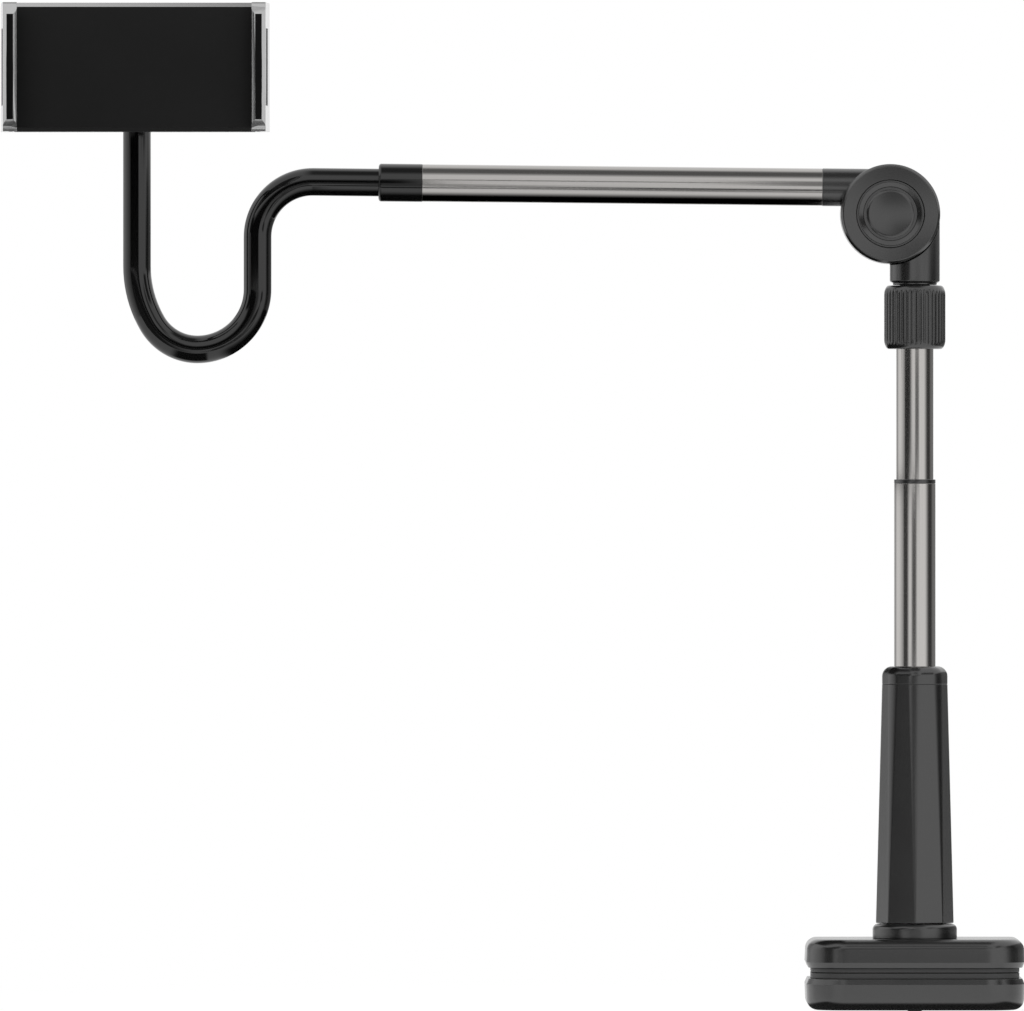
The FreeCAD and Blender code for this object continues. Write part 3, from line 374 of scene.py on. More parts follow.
def ringAt(bm, radius, height):
    # the edges of the round ring at a radius and a height of a lathe
    def onRing(vert):
        off = max(abs(vert.co.xy.length - radius), abs(vert.co.z - height))
        return off < slack["ring"]
    return [edge for edge in bm.edges if all(onRing(vert) for vert in edge.verts)]


def moved(bm, matrix):
    bmesh.ops.transform(bm, matrix=matrix, verts=bm.verts)
    return bm


def arcRows(middle, radius, start, end, count):
    # points of an arc in the plane of a lathe line, angles in degrees from the radius axis
    turns = [math.radians(start + (end - start) * i / count) for i in range(count + 1)]
    return [(middle[0] + radius * math.cos(turn), middle[1] + radius * math.sin(turn)) for turn in turns]


roundSteps = 96
pivot = Vector((-13.35, 0, 409.05))
armTilt = math.radians(0.6)
armRise = 14.15                        # the arm's axis above the pivot
onArm = Matrix.Translation(pivot) @ Matrix.Rotation(armTilt, 4, "Y") @ Matrix.Translation(-pivot)
armAxis = Matrix.Translation(pivot + Vector((0, 0, armRise)))
alongArm = onArm @ armAxis @ Matrix.Rotation(-math.pi / 2, 4, "Y")
outOfPivot = onArm @ Matrix.Translation(pivot) @ Matrix.Rotation(math.pi / 2, 4, "X")
behindPivot = Matrix.Translation(pivot) @ Matrix.Rotation(-math.pi / 2, 4, "X")


def plainTube(name, look, finish, body, node, matrix=Matrix.Identity(4)):
    bore = look["radius"] - look["wall"]
    foot, top = look["span"]
    bm = lathe([(bore, foot), (look["radius"], foot), (look["radius"], top), (bore, top)], roundSteps)
    bevelEdges(bm, sharpEdges(bm), look["edge"], 3)
    moved(bm, matrix)
    finishPiece(name, bm, finish, body, [node])


lowerTube = {"radius": 11.2, "wall": 0.75, "span": (130.9, 263.5), "edge": 0.12}
upperTube = {"radius": 10.05, "wall": 0.8, "span": (203.5, 352.0), "edge": 0.12}
armTube = {"radius": 10.1, "wall": 1.0, "span": (36.75, 252.75), "edge": 0.15}
plainTube("lowerMastTube", lowerTube, finishes["tube_metal"], "lower_mast", "lower_tube")
plainTube("upperMastTube", upperTube, finishes["tube_metal"], "upper_mast", "upper_tube")
plainTube("armMetalTube", armTube, shadedArmMetal, "arm", "arm_tube", alongArm)

guideRing = {
    "bore": 10.13, "spigot": 10.43, "radius": 11.2,
    "spigotFoot": 247.5, "foot": 263.5, "top": 265.8,
    "edge": 0.35,
}


def makeGuideRing(look):
    rows = [(look["bore"], look["spigotFoot"]), (look["spigot"], look["spigotFoot"]),
            (look["spigot"], look["foot"]), (look["radius"], look["foot"]),
            (look["radius"], look["top"]), (look["bore"], look["top"])]
    bm = lathe(rows, roundSteps)
    outer = ringAt(bm, look["radius"], look["top"]) + ringAt(bm, look["radius"], look["foot"])
    bevelEdges(bm, outer, look["edge"], 3)
    finishPiece("tubeGuideRing", bm, finishes["black_plastic"], "lower_mast",
                ["lower_tube_ring"])


makeGuideRing(guideRing)

endSleeve = {
    "spigot": 9.08, "radius": 10.25, "bore": 7.52,
    "spigotFoot": 237.75, "foot": 252.75, "floor": 254.35, "end": 276.35,
    "mouthEdge": 1.5, "footEdge": 0.25,
}


def makeEndSleeve(look):
    rows = [(0, look["spigotFoot"]), (look["spigot"], look["spigotFoot"]), (look["spigot"], look["foot"]),
            (look["radius"], look["foot"]), (look["radius"], look["end"]), (look["bore"], look["end"]),
            (look["bore"], look["floor"]), (0, look["floor"])]
    bm = lathe(rows, roundSteps, closed=False)
    bevelEdges(bm, ringAt(bm, look["radius"], look["end"]), look["mouthEdge"], 8)
    bevelEdges(bm, ringAt(bm, look["radius"], look["foot"]), look["footEdge"], 3)
    moved(bm, alongArm)
    finishPiece("armEndSleeve", bm, finishes["gloss_black"], "arm", ["arm_sleeve"])


makeEndSleeve(endSleeve)

neck = {
    "radius": 7.5, "sides": 64,
    # from the sleeve's floor along the arm: straight runs in millimetres, bends as (radius, degrees)
    "moves": [57.353, (29.7, 90.6), 28.265, (32.5, -90), (28.1, -60), (61.7, -30), 82.0],
    "endBend": 24.0, "endRun": 9.0,
    "bendStep": 3,                      # degrees of bend for each ring
}


def makeGooseneck(look):
    bm = bmesh.new()
    ring = bmesh.ops.create_circle(bm, segments=look["sides"], radius=look["radius"])["verts"]
    at = alongArm @ Vector((0, 0, endSleeve["floor"]))
    heading = 180 - math.degrees(armTilt)
    face = Matrix.Rotation(math.radians(90 - heading), 4, "Y")
    bmesh.ops.transform(bm, matrix=Matrix.Translation(at) @ face, verts=ring)
    tip = list(bm.edges)
    bmesh.ops.edgeloop_fill(bm, edges=tip)

    def push(tip, way):
        made = bmesh.ops.extrude_edge_only(bm, edges=tip)["geom"]
        bmesh.ops.translate(bm, vec=way, verts=[v for v in made if isinstance(v, bmesh.types.BMVert)])
        return [e for e in made if isinstance(e, bmesh.types.BMEdge) and e.is_boundary]

    def turn(tip, centre, axis, degrees):
        steps = max(2, round(abs(degrees) / look["bendStep"]))
        made = bmesh.ops.spin(bm, geom=tip, cent=centre, axis=axis, angle=math.radians(degrees), steps=steps)
        return [e for e in made["geom_last"] if isinstance(e, bmesh.types.BMEdge)]

    for move in look["moves"]:
        ahead = Vector((math.cos(math.radians(heading)), 0, math.sin(math.radians(heading))))
        if isinstance(move, tuple):
            radius, degrees = move
            side = Vector((-ahead.z, 0, ahead.x)) * math.copysign(radius, degrees)
            tip = turn(tip, at + side, (0, -1, 0), degrees)
            at = at + side + Matrix.Rotation(math.radians(degrees), 3, (0, -1, 0)) @ -side
            heading += degrees
        else:
            tip = push(tip, ahead * move)
            at = at + ahead * move
    tip = turn(tip, at + Vector((0, -look["endBend"], 0)), (1, 0, 0), 90)
    tip = push(tip, Vector((0, -look["endRun"], 0)))
    bmesh.ops.edgeloop_fill(bm, edges=tip)
    finishPiece("gooseneckTube", bm, finishes["gooseneck_skin"], "arm", ["gooseneck"])


makeGooseneck(neck)

collar = {
    "radius": 22.8, "foot": 18.0, "top": 26.0, "hole": 4.08,
    "recess": 15.02, "recessFloor": 25.0,
    "shoulder": 3.2, "footEdge": 0.4,
}


def makeCollar(look):
    rows = [(look["hole"], look["foot"]), (look["radius"], look["foot"]), (look["radius"], look["top"]),
            (look["recess"], look["top"]), (look["recess"], look["recessFloor"]),
            (look["hole"], look["recessFloor"])]
    bm = lathe(rows, roundSteps)
    bevelEdges(bm, ringAt(bm, look["radius"], look["top"]), look["shoulder"], 8)
    bevelEdges(bm, ringAt(bm, look["radius"], look["foot"]), look["footEdge"], 3)
    finishPiece("swivelCollar", bm, finishes["black_plastic"], "clip", ["swivel_collar"])


makeCollar(collar)

column = {
    "footReach": 21.12, "footCorner": 1.5, "foot": 26.3,
    "topReach": 18.62, "topCorner": 10.0, "seam": 155.25, "top": 164.9,
    "floor": 32.3, "bolt": 4.08, "bore": 12.7,
    "plug": 12.68, "plugFoot": 147.25, "guide": 11.28,
    "capEdge": 5.4, "footEdge": 0.5, "seamEdge": 0.3,
    "cornerSteps": 8,
}


def octagonLoop(bm, reach, corner, height, steps):
    # an eight-sided loop with rounded corners, one corner to the front
    ring = bmesh.ops.create_circle(bm, cap_ends=True, segments=8, radius=reach,
                                   matrix=Matrix.Translation((0, 0, height)))["verts"]
    cut = corner * math.tan(math.pi / 8)
    bmesh.ops.bevel(bm, geom=ring, offset=cut, offset_type="OFFSET", affect="VERTICES",
                    segments=steps, profile=0.5, material=-1)
    face = [f for f in bm.faces if all(abs(v.co.z - height) < slack["loop"] for v in f.verts)]
    loop = [e for f in face for e in f.edges]
    bmesh.ops.delete(bm, geom=face, context="FACES_ONLY")
    return loop


def roundLoop(bm, radius, height, count):
    ring = bmesh.ops.create_circle(bm, segments=count, radius=radius,
                                   matrix=Matrix.Translation((0, 0, height)))["verts"]
    return list({edge for vert in ring for edge in vert.link_edges})


def bridged(bm, loops):
    # closes a shell through a row of loops and back to the first
    for first, second in zip(loops, loops[1:] + loops[:1]):
        bmesh.ops.bridge_loops(bm, edges=first + second)


def rimAt(bm, height, clear):
    # the outer edges that lie at a height, clear of the bore
    def onRim(vert):
        return abs(vert.co.z - height) < slack["rim"] and vert.co.xy.length > clear + slack["bore"]
    return [edge for edge in bm.edges if all(onRim(vert) for vert in edge.verts)]


def makeColumn(look):
    count = 8 * (look["cornerSteps"] + 1)
    bm = bmesh.new()
    bridged(bm, [
        octagonLoop(bm, look["footReach"], look["footCorner"], look["foot"], look["cornerSteps"]),
        octagonLoop(bm, look["topReach"], look["topCorner"], look["seam"], look["cornerSteps"]),
        roundLoop(bm, look["bore"], look["seam"], count),
        roundLoop(bm, look["bore"], look["floor"], count),
        roundLoop(bm, look["bolt"], look["floor"], count),
        roundLoop(bm, look["bolt"], look["foot"], count),
    ])
    bmesh.ops.recalc_face_normals(bm, faces=bm.faces)
    bevelEdges(bm, rimAt(bm, look["foot"], look["bore"]), look["footEdge"], 3)
    bevelEdges(bm, rimAt(bm, look["seam"], look["bore"]), look["seamEdge"], 3)
    finishPiece("columnBody", bm, finishes["black_plastic"], "column", ["column_body"])
    bm = bmesh.new()
    rim = octagonLoop(bm, look["topReach"], look["topCorner"], look["top"], look["cornerSteps"])
    bridged(bm, [
        octagonLoop(bm, look["topReach"], look["topCorner"], look["seam"], look["cornerSteps"]),
        rim,
        roundLoop(bm, look["guide"], look["top"], count),
        roundLoop(bm, look["guide"], look["plugFoot"], count),
        roundLoop(bm, look["plug"], look["plugFoot"], count),
        roundLoop(bm, look["plug"], look["seam"], count),
    ])
    bmesh.ops.recalc_face_normals(bm, faces=bm.faces)
    bevelEdges(bm, rim, look["capEdge"], 8)
    bevelEdges(bm, rimAt(bm, look["seam"], look["bore"]), look["seamEdge"], 3)
    finishPiece("columnCap", bm, finishes["black_plastic"], "column", ["column_cap"])


makeColumn(column)

knob = {
    "radius": 16.55, "foot": 336.2, "top": 370.5,
    "endInset": 2.6, "endDrop": 5.2,
    "lipBore": 10.45, "lip": 4.5, "cavity": 12.08, "topBore": 8.4, "topLip": 2.7,
    "flutes": 40, "fluteRadius": 0.8, "fluteDepth": 0.45,
    "stepsAFlute": 10, "endSteps": 8,
    "sharp": 60,                        # degrees, so that the flutes shade softly
}


def makeKnob(look):
    # quarter arcs squeezed to the inset and the drop make the rounded ends
    def shoulder(height, way, turns):
        inner = look["radius"] - look["endInset"]
        drop = way * look["endDrop"]
        return [(inner + look["endInset"] * math.cos(turn), height + drop * (1 - math.sin(turn)))
                for turn in turns]

    quarter = [math.pi / 2 * i / look["endSteps"] for i in range(look["endSteps"] + 1)]
    rows = [(look["lipBore"], look["foot"])]
    rows += shoulder(look["foot"], 1, quarter[::-1])
    rows += shoulder(look["top"], -1, quarter)
    rows += [(look["topBore"], look["top"]), (look["topBore"], look["top"] - look["topLip"])]
    rows += [(look["cavity"], look["top"] - look["topLip"]), (look["cavity"], look["foot"] + look["lip"])]
    rows += [(look["lipBore"], look["foot"] + look["lip"])]
    bm = lathe(rows, look["flutes"] * look["stepsAFlute"])
    reach = look["radius"] + look["fluteRadius"] - look["fluteDepth"]
    pitch = 2 * math.pi / look["flutes"]
    for vert in bm.verts:
        angle = math.atan2(vert.co.y, vert.co.x)
        off = angle - pitch * round(angle / pitch)
        aside = reach * math.sin(off)
        radius = vert.co.xy.length
        if radius > look["cavity"] + slack["bore"] and abs(aside) < look["fluteRadius"]:
            hollow = reach * math.cos(off) - math.sqrt(look["fluteRadius"] ** 2 - aside ** 2)
            vert.co.xy *= min(1, hollow / radius)
    finishPiece("lockKnob", bm, finishes["black_plastic"], "knob", ["lock_knob"],
                look["sharp"])


makeKnob(knob)

pivotFace = {
    "seat": 12.5, "face": 15.5,
    "ringBore": 14.4, "ringRadius": 17.2, "ringDrop": 0.2, "ringSink": 1.5, "ringEdge": 0.35,
    "capRadius": 12.95, "capSide": 0.5, "capBevel": 0.6, "dome": 0.7, "domeSteps": 12,
}


def makePivotRing(look):
    high, low = look["face"] - look["ringDrop"], look["face"] - look["ringSink"]
    rows = [(look["ringBore"], look["seat"]), (look["ringRadius"], look["seat"]),
            (look["ringRadius"], high), (look["ringBore"], low)]
    bm = lathe(rows, roundSteps)
    rims = ringAt(bm, look["ringRadius"], high) + ringAt(bm, look["ringBore"], low)
    bevelEdges(bm, rims, look["ringEdge"], 4)
    moved(bm, outOfPivot)
    finishPiece("pivotRing", bm, finishes["black_plastic"], "arm", ["pivot_ring"])


def makePivotCap(name, look, matrix, body, node):
    rim = look["capRadius"] - look["capBevel"]
    crown = look["face"] + look["dome"]
    domeRadius = (rim ** 2 + look["dome"] ** 2) / (2 * look["dome"])
    spread = math.degrees(math.asin(rim / domeRadius))
    rows = [(0, look["seat"]), (look["capRadius"], look["seat"]),
            (look["capRadius"], look["face"] - look["capSide"])]
    rows += arcRows((0, crown - domeRadius), domeRadius, 90 - spread, 90, look["domeSteps"])
    bm = lathe(rows, roundSteps, closed=False)
    moved(bm, matrix)
    finishPiece(name, bm, finishes["black_plastic"], body, [node])


makePivotRing(pivotFace)
makePivotCap("pivotFrontCap", pivotFace, outOfPivot, "arm", "pivot_cap")
makePivotCap("pivotRearCap", pivotFace, behindPivot, "mast_head", "pivot_rear_cap")


softening = {"flat": 0.5, "stray": 0.6}   # degrees taken for flat, share of an edge taken for astray


def softCopy(name, node, looks, finish, body, reshape=None, sharp=35):
    # the CAD node's own form, merged, with its sharp edges broken in one or more passes
    bm = bmesh.new()
    bm.from_mesh(nodes[node].data)
    bmesh.ops.scale(bm, vec=(1 / mm, 1 / mm, 1 / mm), verts=bm.verts)
    bmesh.ops.remove_doubles(bm, verts=bm.verts, dist=slack["cadWeld"])
    bmesh.ops.dissolve_limit(bm, angle_limit=math.radians(softening["flat"]), use_dissolve_boundaries=False,
                             verts=bm.verts, edges=bm.edges, delimit={"NORMAL"})
    form = BVHTree.FromBMesh(bm)
    for look in looks:
        within = look.get("within", lambda vert: True)
        chosen = [edge for edge in sharpEdges(bm, look["above"]) if all(map(within, edge.verts))]
        bevelEdges(bm, chosen, look["edge"], look["steps"], clamp=False)
    # where short edges throw a corner off the form, it goes back on it
    reach = softening["stray"] * max(look["edge"] for look in looks)
    for vert in bm.verts:
        near, _, _, gap = form.find_nearest(vert.co)
        if gap > reach:
            vert.co = near
        if reshape:
            reshape(vert)
    if reshape:
        broad = [face for face in bm.faces if len(face.verts) > 4]
        bmesh.ops.triangulate(bm, faces=broad)
    finishPiece(name, bm, finish, body, [node], sharp)


cradleMiddle = Vector((-420, 0, 486.9))
mouldedEdge = [{"edge": 0.4, "steps": 3, "above": 25}]
fineEdge = [{"edge": 0.25, "steps": 3, "above": 25}]
crispEdge = [{"edge": 0.25, "steps": 3, "above": 50}]
padEdge = [{"edge": 0.35, "steps": 3, "above": 25}]
bandEdge = [{"edge": 0.18, "steps": 2, "above": 25}]
clawFace = {"fromMiddle": 62.0, "front": -82.0, "bandInner": 64.0, "bandOuter": 69.5}


def onClaw(vert):
    return abs(vert.co.x - cradleMiddle.x) > clawFace["fromMiddle"]


def onClawRim(vert):
    # the front edges on either side of the band
    aside = abs(vert.co.x - cradleMiddle.x)
    beside = aside < clawFace["bandInner"] or aside > clawFace["bandOuter"]
    return onClaw(vert) and beside and vert.co.y < clawFace["front"]


def offClawRim(vert):
    return onClaw(vert) and vert.co.y > clawFace["front"]


ballSocket = {"middle": cradleMiddle + Vector((0, -47.0, 0)), "clear": 14.0}


def offSocket(vert):
    # the socket's boss keeps its CAD form, close to the ring and the nut
    return (vert.co - ballSocket["middle"]).length > ballSocket["clear"]


housingEdge = [{"edge": 0.25, "steps": 3, "above": 50, "within": offSocket}]
hubFace = {"depth": -14.0, "from": 18.4, "slope": -0.066,
           "washerFace": -0.2, "washerSlack": 0.005, "washerGap": 0.02}


def coneFace(vert):
    # the hub's front face falls away only a little towards its rim
    aside = math.hypot(vert.co.x - pivot.x, vert.co.z - pivot.z)
    if vert.co.y < hubFace["depth"] and aside > hubFace["from"]:
        vert.co.y += hubFace["slope"] * (aside - hubFace["from"])
    # a hair of air between the hub and its friction washer
    if abs(vert.co.y - hubFace["washerFace"]) < hubFace["washerSlack"]:
        vert.co.y -= hubFace["washerGap"]


clawEdge = [{"edge": 0.6, "steps": 4, "above": 25, "within": onClawRim},
            {"edge": 0.28, "steps": 3, "above": 35, "within": offClawRim}]
plastic = finishes["black_plastic"]
jawSharp = 18                          # degrees, so that the jaws' mouth slope keeps its line
softCopy("elbowHead", "elbow", mouldedEdge, plastic, "mast_head")
softCopy("armHub", "arm_hub", mouldedEdge, plastic, "arm", coneFace)
softCopy("clipUpperJaw", "upper_jaw", crispEdge, plastic, "clip", sharp=jawSharp)
softCopy("clipLowerJaw", "lower_jaw", crispEdge, plastic, "moving_jaw", sharp=jawSharp)
softCopy("cradleHousing", "cradle_back", housingEdge, plastic, "cradle")
softCopy("ballLockNut", "ball_lock_nut", fineEdge, plastic, "lock_nut")
softCopy("upperJawPad", "upper_jaw_pad", padEdge, finishes["rubber"], "clip")
softCopy("lowerJawPad", "lower_jaw_pad", padEdge, finishes["rubber"], "moving_jaw")
for side in ("left", "right"):
    claw = side + "_claw"
    softCopy("clawShell." + side, "claw_" + side, clawEdge, finishes["claw_grey"], claw)
    softCopy("clawPad." + side, "claw_pad_" + side, padEdge, finishes["rubber"], claw)
    softCopy("clawBand." + side, "claw_band_" + side, bandEdge, bandBlack, claw)
    softCopy("clawGrip." + side, "claw_grip_" + side, bandEdge, bandBlack, claw)

jawSpring = {
    "hinge": 40.0, "coil": 4.2, "wire": 0.7, "pitch": 2.6, "turns": 5.5,
    "footY": 44.0, "footZ": 7.4, "slope": 8.95, "leg": 26.0,
    "sides": 12, "turnSteps": 40,
    # the lower leg takes the end of the last turn along, slimmer, so the coil stays whole
    "lap": 32.0, "lapSteps": 5, "slim": 0.03,
}


def wireAlong(points, radius, sides):
    # a closed round wire through a row of points around the hinge's axis
    bm = bmesh.new()
    rings = []
    for index, point in enumerate(points):
        way = (points[min(index + 1, len(points) - 1)] - points[max(index - 1, 0)]).normalized()
        side = (Vector((1, 0, 0)) - way * way.x).normalized()
        face = Matrix((side, way.cross(side), way)).transposed().to_4x4()
        ring = bmesh.ops.create_circle(bm, segments=sides, radius=radius,
                                       matrix=Matrix.Translation(point) @ face)["verts"]
        rings.append(list({edge for vert in ring for edge in vert.link_edges}))
    for first, second in zip(rings, rings[1:]):
        bmesh.ops.bridge_loops(bm, edges=first + second)
    for end in (rings[0], rings[-1]):
        bmesh.ops.edgeloop_fill(bm, edges=end)
    return bm


def makeSpring(look):
    half = look["pitch"] * look["turns"] / 2

    def onCoil(turned):
        # the coil begins above the hinge, where the upper leg leaves it
        angle = math.radians(90 + 360 * turned)
        return Vector((look["pitch"] * turned - half, look["hinge"] + look["coil"] * math.cos(angle),
                       look["coil"] * math.sin(angle)))

    def leg(sign):
        foot = Vector((-sign * half, look["footY"], sign * look["footZ"]))
        slope = math.radians(look["slope"])
        return [foot, foot + look["leg"] * Vector((0, math.cos(slope), sign * math.sin(slope)))]

    count = round(look["turns"] * look["turnSteps"])
    coil = [onCoil(look["turns"] * step / count) for step in range(count + 1)]
    bm = wireAlong(leg(1)[::-1] + coil, look["wire"], look["sides"])
    finishPiece("springCoil", bm, finishes["steel"], "clip", ["jaw_spring"])
    lap = look["lap"] / 360 / look["lapSteps"]
    end = [onCoil(look["turns"] - lap * step) for step in range(look["lapSteps"], -1, -1)]
    bm = wireAlong(end + leg(-1), look["wire"] - look["slim"], look["sides"])
    finishPiece("springLowerLeg", bm, finishes["steel"], "moving_jaw", ["jaw_spring"])


makeSpring(jawSpring)

panel = {
    "halfX": 64.8, "halfZ": 34.65, "back": -66.0, "front": -68.2,
    "bevelY": 1.5, "bevelZ": 2.2,       # the sloped strips along the top and the bottom
    "edge": 0.12,
    "sharp": 20, "slope": 0.2,          # degrees, and how far a face leans up and forward to count as the top strip, the one painted grey
}


def makePanel(look):
    strip = look["front"] + look["bevelY"]
    half, flat = look["halfZ"], look["halfZ"] - look["bevelZ"]
    section = [(look["back"], -half), (strip, -half), (look["front"], -flat),
               (look["front"], flat), (strip, half), (look["back"], half)]
    bm = bmesh.new()
    end = bm.faces.new([bm.verts.new((-look["halfX"], y, z)) for y, z in section])
    made = bmesh.ops.extrude_face_region(bm, geom=[end])["geom"]
    bmesh.ops.translate(bm, vec=(2 * look["halfX"], 0, 0),
                        verts=[vert for vert in made if isinstance(vert, bmesh.types.BMVert)])
    bmesh.ops.recalc_face_normals(bm, faces=bm.faces)
    for face in bm.faces:
        # only the up-facing strip takes the grey claw finish: partly the frame's own grey, partly a painted
        # highlight along the top; the down-facing strip keeps the panel's black
        face.material_index = int(face.normal.y < -look["slope"] and face.normal.z > look["slope"])
    bevelEdges(bm, sharpEdges(bm, look["sharp"]), look["edge"], 2)
    moved(bm, Matrix.Translation(cradleMiddle))
    finishPiece("frontPanel", bm, [panelBlack, finishes["claw_grey"]], "cradle",
                ["cradle_panel"], look["sharp"])


makePanel(panel)

studio = {
    "worldFill": 0.72,
    "floorDrop": 1.0 * mm,
    "floorReach": 400.0,
    "floorShade": 0.86,
    "shadow": 0.10,                    # share of the floor's own shading that shows
    "shadowNear": 0.20, "shadowFar": 0.75,   # metres from the mast over which it fades out
    "flagPlane": -0.6,                 # the dark cards in front of the part
    "lift": 0.4 * mm,                  # the cards that lie on the floor
}


def seenRays(tree):
    # 1 for a ray from the camera, off gloss or through glass
    path = tree.nodes.new("ShaderNodeLightPath").outputs
    seen = Flow(tree, path["Is Camera Ray"]) + Flow(tree, path["Is Glossy Ray"])
    return seen + Flow(tree, path["Is Transmission Ray"])


def backdrop():
    world = bpy.data.worlds.new("studio")
    bpy.context.scene.world = world
    tree = emptied(world)
    seen = seenRays(tree)
    strength = studio["worldFill"] + (1 - studio["worldFill"]) * seen
    light = strength.node("ShaderNodeBackground", {}, {"Color": (1, 1, 1, 1), "Strength": strength})
    output = tree.nodes.new("ShaderNodeOutputWorld")
    tree.links.new(light.socket, output.inputs[0])


def stagePlane(name, width, depth, matrix):
    bm = bmesh.new()
    bmesh.ops.create_grid(bm, x_segments=1, y_segments=1, size=0.5)
    bmesh.ops.scale(bm, vec=(width, depth, 1), verts=bm.verts)
    bmesh.ops.transform(bm, matrix=matrix, verts=bm.verts)
    mesh = bpy.data.meshes.new(name)
    bm.to_mesh(mesh)
    bm.free()
    plane = linked(name, mesh)
    return plane


def floorFinish():
    material = bpy.data.materials.new("paleFloor")
    tree = emptied(material)
    seen = seenRays(tree)
    matt = seen.node("ShaderNodeBsdfDiffuse", {}, {"Color": (*grey(studio["floorShade"]), 1)})
    white = seen.node("ShaderNodeEmission", {}, {"Color": (1, 1, 1, 1), "Strength": 1.0})
    place = Flow(tree, tree.nodes.new("ShaderNodeTexCoord").outputs["Object"])
    away = place.node("ShaderNodeVectorMath", {"operation": "LENGTH"}, {0: place}, 1)
    fade = away.ease(studio["shadowNear"], studio["shadowFar"])
    share = seen * (1 - studio["shadow"] * (1 - fade))
    mixed = share.node("ShaderNodeMixShader", {}, {0: share, 1: matt, 2: white})
    output = tree.nodes.new("ShaderNodeOutputMaterial")
    tree.links.new(mixed.socket, output.inputs[0])
    return material


def cardFinish(name, shade, spans):
    # clear at its border, so that it shows no edge
    material = bpy.data.materials.new(name)
    tree = emptied(material)
    place = Flow(tree, tree.nodes.new("ShaderNodeTexCoord").outputs["Object"])
    inside = 1.0
    for axis, low, lowFull, highFull, high in spans:
        at = place.part(axis)
        inside = inside * (at.ease(low, lowFull) * (1 - at.ease(highFull, high)))
    clear = inside.node("ShaderNodeBsdfTransparent", {}, {})
    light = inside.node("ShaderNodeEmission", {}, {"Color": (*grey(shade), 1), "Strength": 1.0})
    mixed = inside.node("ShaderNodeMixShader", {}, {0: inside, 1: clear, 2: light})
    output = tree.nodes.new("ShaderNodeOutputMaterial")
    tree.links.new(mixed.socket, output.inputs[0])
    return material


front = studio["flagPlane"]
ground = cadLow.z - studio["floorDrop"] + studio["lift"]
ringHeight = 0.2646                    # the guide ring, where the tubes' reflections change
seam = 0.001                           # the way over which two cards meet there
fromRing, upToRing = (ringHeight, ringHeight + seam), (ringHeight - seam, ringHeight)
# cards that only reflections see: (name, shade, facing axis, distance, then along the two other
# axes the place where it begins, is full, is full still and ends), metres
cards = [
    ("flagNeck", 0.0, 1, front, (-1.30, -1.29, -0.280, -0.258), (0.36, 0.38, 0.53, 0.70)),
    ("flagLeftHigh", 0.04, 1, front, (-1.30, -1.29, -0.40, -0.10), (*fromRing, 0.36, 0.38)),
    ("flagLeftLow", 0.08, 1, front, (-1.30, -1.29, -0.60, -0.33), (-0.4, -0.3, *upToRing)),
    ("flagLeftSide", 0.04, 0, -1.30, (-0.61, -0.60, -1.10, 0.30), (-0.4, -0.3, 0.46, 0.48)),
    ("flagMiddleHigh", 0.18, 1, front, (-0.03, 0.06, 0.20, 0.34), (*fromRing, 0.345, 0.365)),
    ("flagMiddleLow", 0.12, 1, front, (-0.27, -0.10, 0.0, 0.16), (0.13, 0.16, *upToRing)),
    ("flagClip", 0.45, 1, front, (-0.25, -0.12, 0.12, 0.25), (-0.4, -0.3, 0.07, 0.09)),
    ("flagColumn", 0.12, 1, front, (-0.40, -0.35, -0.14, 0.0), (0.02, 0.04, 0.13, 0.15)),
    ("flagPivot", 0.30, 1, front, (-0.10, -0.05, 0.10, 0.20), (0.44, 0.50, 0.75, 0.90)),
    ("armLineHigh", 0.20, 1, front, (-0.33, -0.30, -0.07, -0.05), (0.600, 0.625, 0.655, 0.680)),
    ("armLineLow", 0.20, 2, ground, (-0.33, -0.30, -0.03, 0.0), (-1.60, -1.45, -1.20, -1.10)),
    ("flagRight", 0.06, 0, 0.60, (-0.42, -0.05, 0.08, 0.32), (-0.4, -0.3, 0.40, 0.45)),
    ("flagRightBack", 0.25, 0, 0.62, (0.0, 0.15, 2.5, 3.0), (-0.4, -0.3, 0.42, 0.50)),
    ("flagLeftBack", 0.45, 0, -1.32, (0.6, 1.4, 3.0, 4.0), (-0.4, -0.3, 1.0, 1.2)),
    ("flagTop", 0.16, 2, 1.55, (-0.55, -0.28, 0.30, 0.60), (-1.05, -0.35, 0.02, 0.60)),
    ("underArm", 0.0, 2, ringHeight, (-0.36, -0.33, -0.05, -0.03), (-0.14, -0.015, 0.22, 0.34)),
    # a dark card on the floor just under the clip: a painted shadow that the jaws' lower rounding sees in
    # reflection
    ("shadowCardUnderClip", 0.05, 2, ground, (-0.075, -0.062, 0.062, 0.075), (-0.050, -0.040, 0.09, 0.11)),
    ("flagClawRight", 0.10, 0, 0.60, (-0.85, -0.75, -0.40, -0.25), (0.46, 0.475, 0.70, 0.80)),
    ("flagClawLeft", 0.04, 0, -1.29, (-0.85, -0.75, -0.38, -0.28), (0.46, 0.475, 0.70, 0.80)),
    ("floorCradle", 0.02, 2, ground, (-0.60, -0.52, -0.345, -0.325), (-0.60, -0.45, 0.10, 0.20)),
]


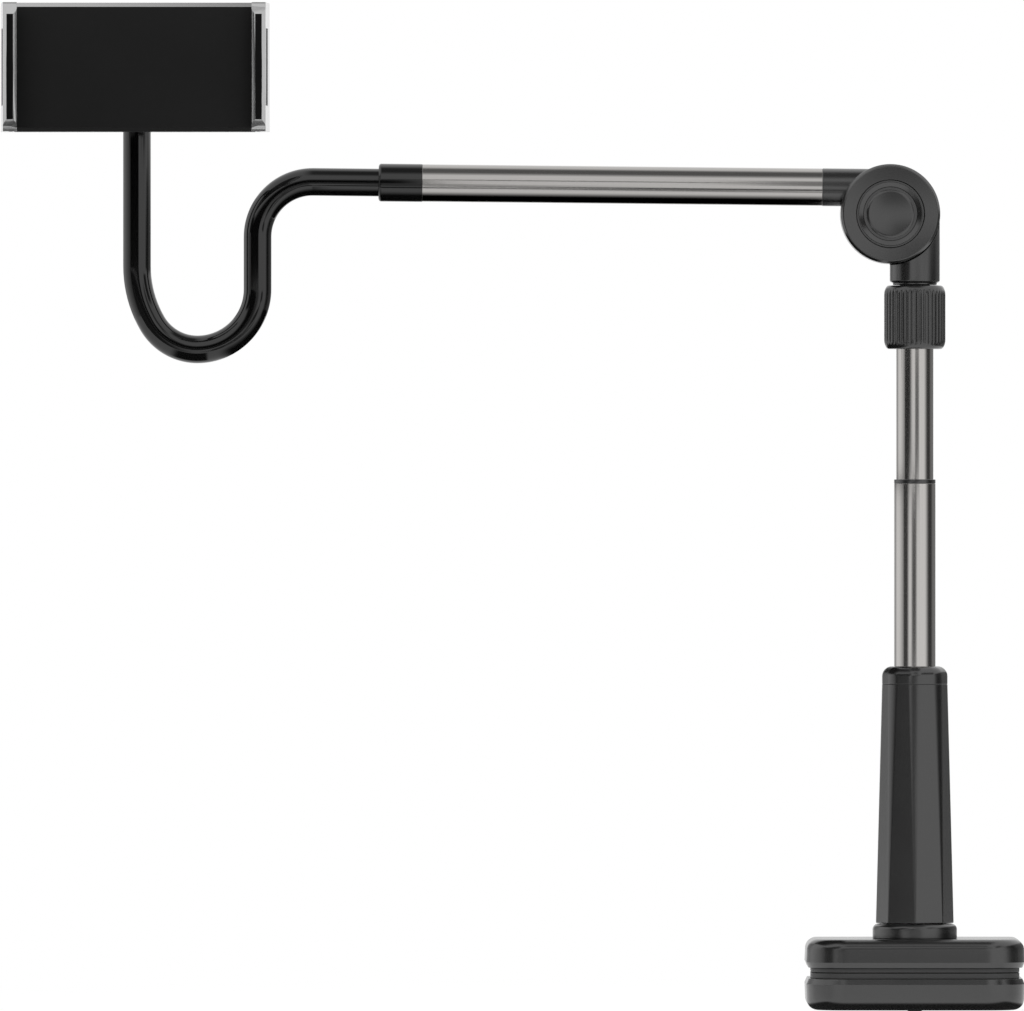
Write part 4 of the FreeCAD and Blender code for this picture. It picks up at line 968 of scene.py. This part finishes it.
def reflectCards():
    turns = [Matrix.Rotation(math.pi / 2, 4, "Z") @ Matrix.Rotation(math.pi / 2, 4, "X"),
             Matrix.Rotation(math.pi / 2, 4, "X"), Matrix.Identity(4)]
    for name, shade, axis, distance, first, second in cards:
        others = [other for other in range(3) if other != axis]
        spans = [(other, *span) for other, span in zip(others, (first, second))]
        middle = Vector()
        middle[axis] = distance
        for other, span in zip(others, (first, second)):
            middle[other] = (span[0] + span[-1]) / 2
        matrix = Matrix.Translation(middle) @ turns[axis]
        card = stagePlane(name, first[-1] - first[0], second[-1] - second[0], matrix)
        card.data.materials.append(cardFinish(name, shade, spans))
        card.visible_camera = False
        card.visible_diffuse = False
        card.visible_transmission = False
        card.visible_shadow = False


# soft lamps: (name, place, aim, size, watts)
lamps = [
    ("lampLeft", (-1.6, -1.8, 1.5), (-0.2, 0, 0.25), 1.4, 26),
    ("lampRight", (1.5, -1.6, 1.3), (-0.1, 0, 0.25), 1.2, 18),
    ("lampTop", (-0.2, 0.6, 2.0), (-0.2, 0, 0.2), 1.5, 22),
]


def softLamps():
    for name, place, aim, size, watts in lamps:
        light = bpy.data.lights.new(name, "AREA")
        light.size = size
        light.energy = watts
        lamp = linked(name, light)
        lamp.location = place
        lamp.rotation_euler = (Vector(aim) - Vector(place)).to_track_quat("-Z", "Y").to_euler()
        lamp.visible_camera = False
        lamp.visible_glossy = False


photo = {
    "lens": 703.1, "sensor": 36, "distance": 10.8, "farEnd": 1000,
    "centreX": -217.5 * mm, "centreZ": 251.7 * mm,
}


def photoCamera():
    data = bpy.data.cameras.new("photoCamera")
    data.lens = photo["lens"]
    data.sensor_width = photo["sensor"]
    data.clip_end = photo["farEnd"]
    camera = linked("photoCamera", data)
    camera.location = (photo["centreX"], -photo["distance"], photo["centreZ"])
    camera.rotation_euler = (math.pi / 2, 0, 0)
    bpy.context.scene.camera = camera


backdrop()
floor = stagePlane("floor", studio["floorReach"], studio["floorReach"],
                   Matrix.Translation((0, 0, cadLow.z - studio["floorDrop"])))
floor.data.materials.append(floorFinish())
reflectCards()
softLamps()
photoCamera()
bpy.context.scene.view_settings.view_transform = "Standard"
print("studio ready")
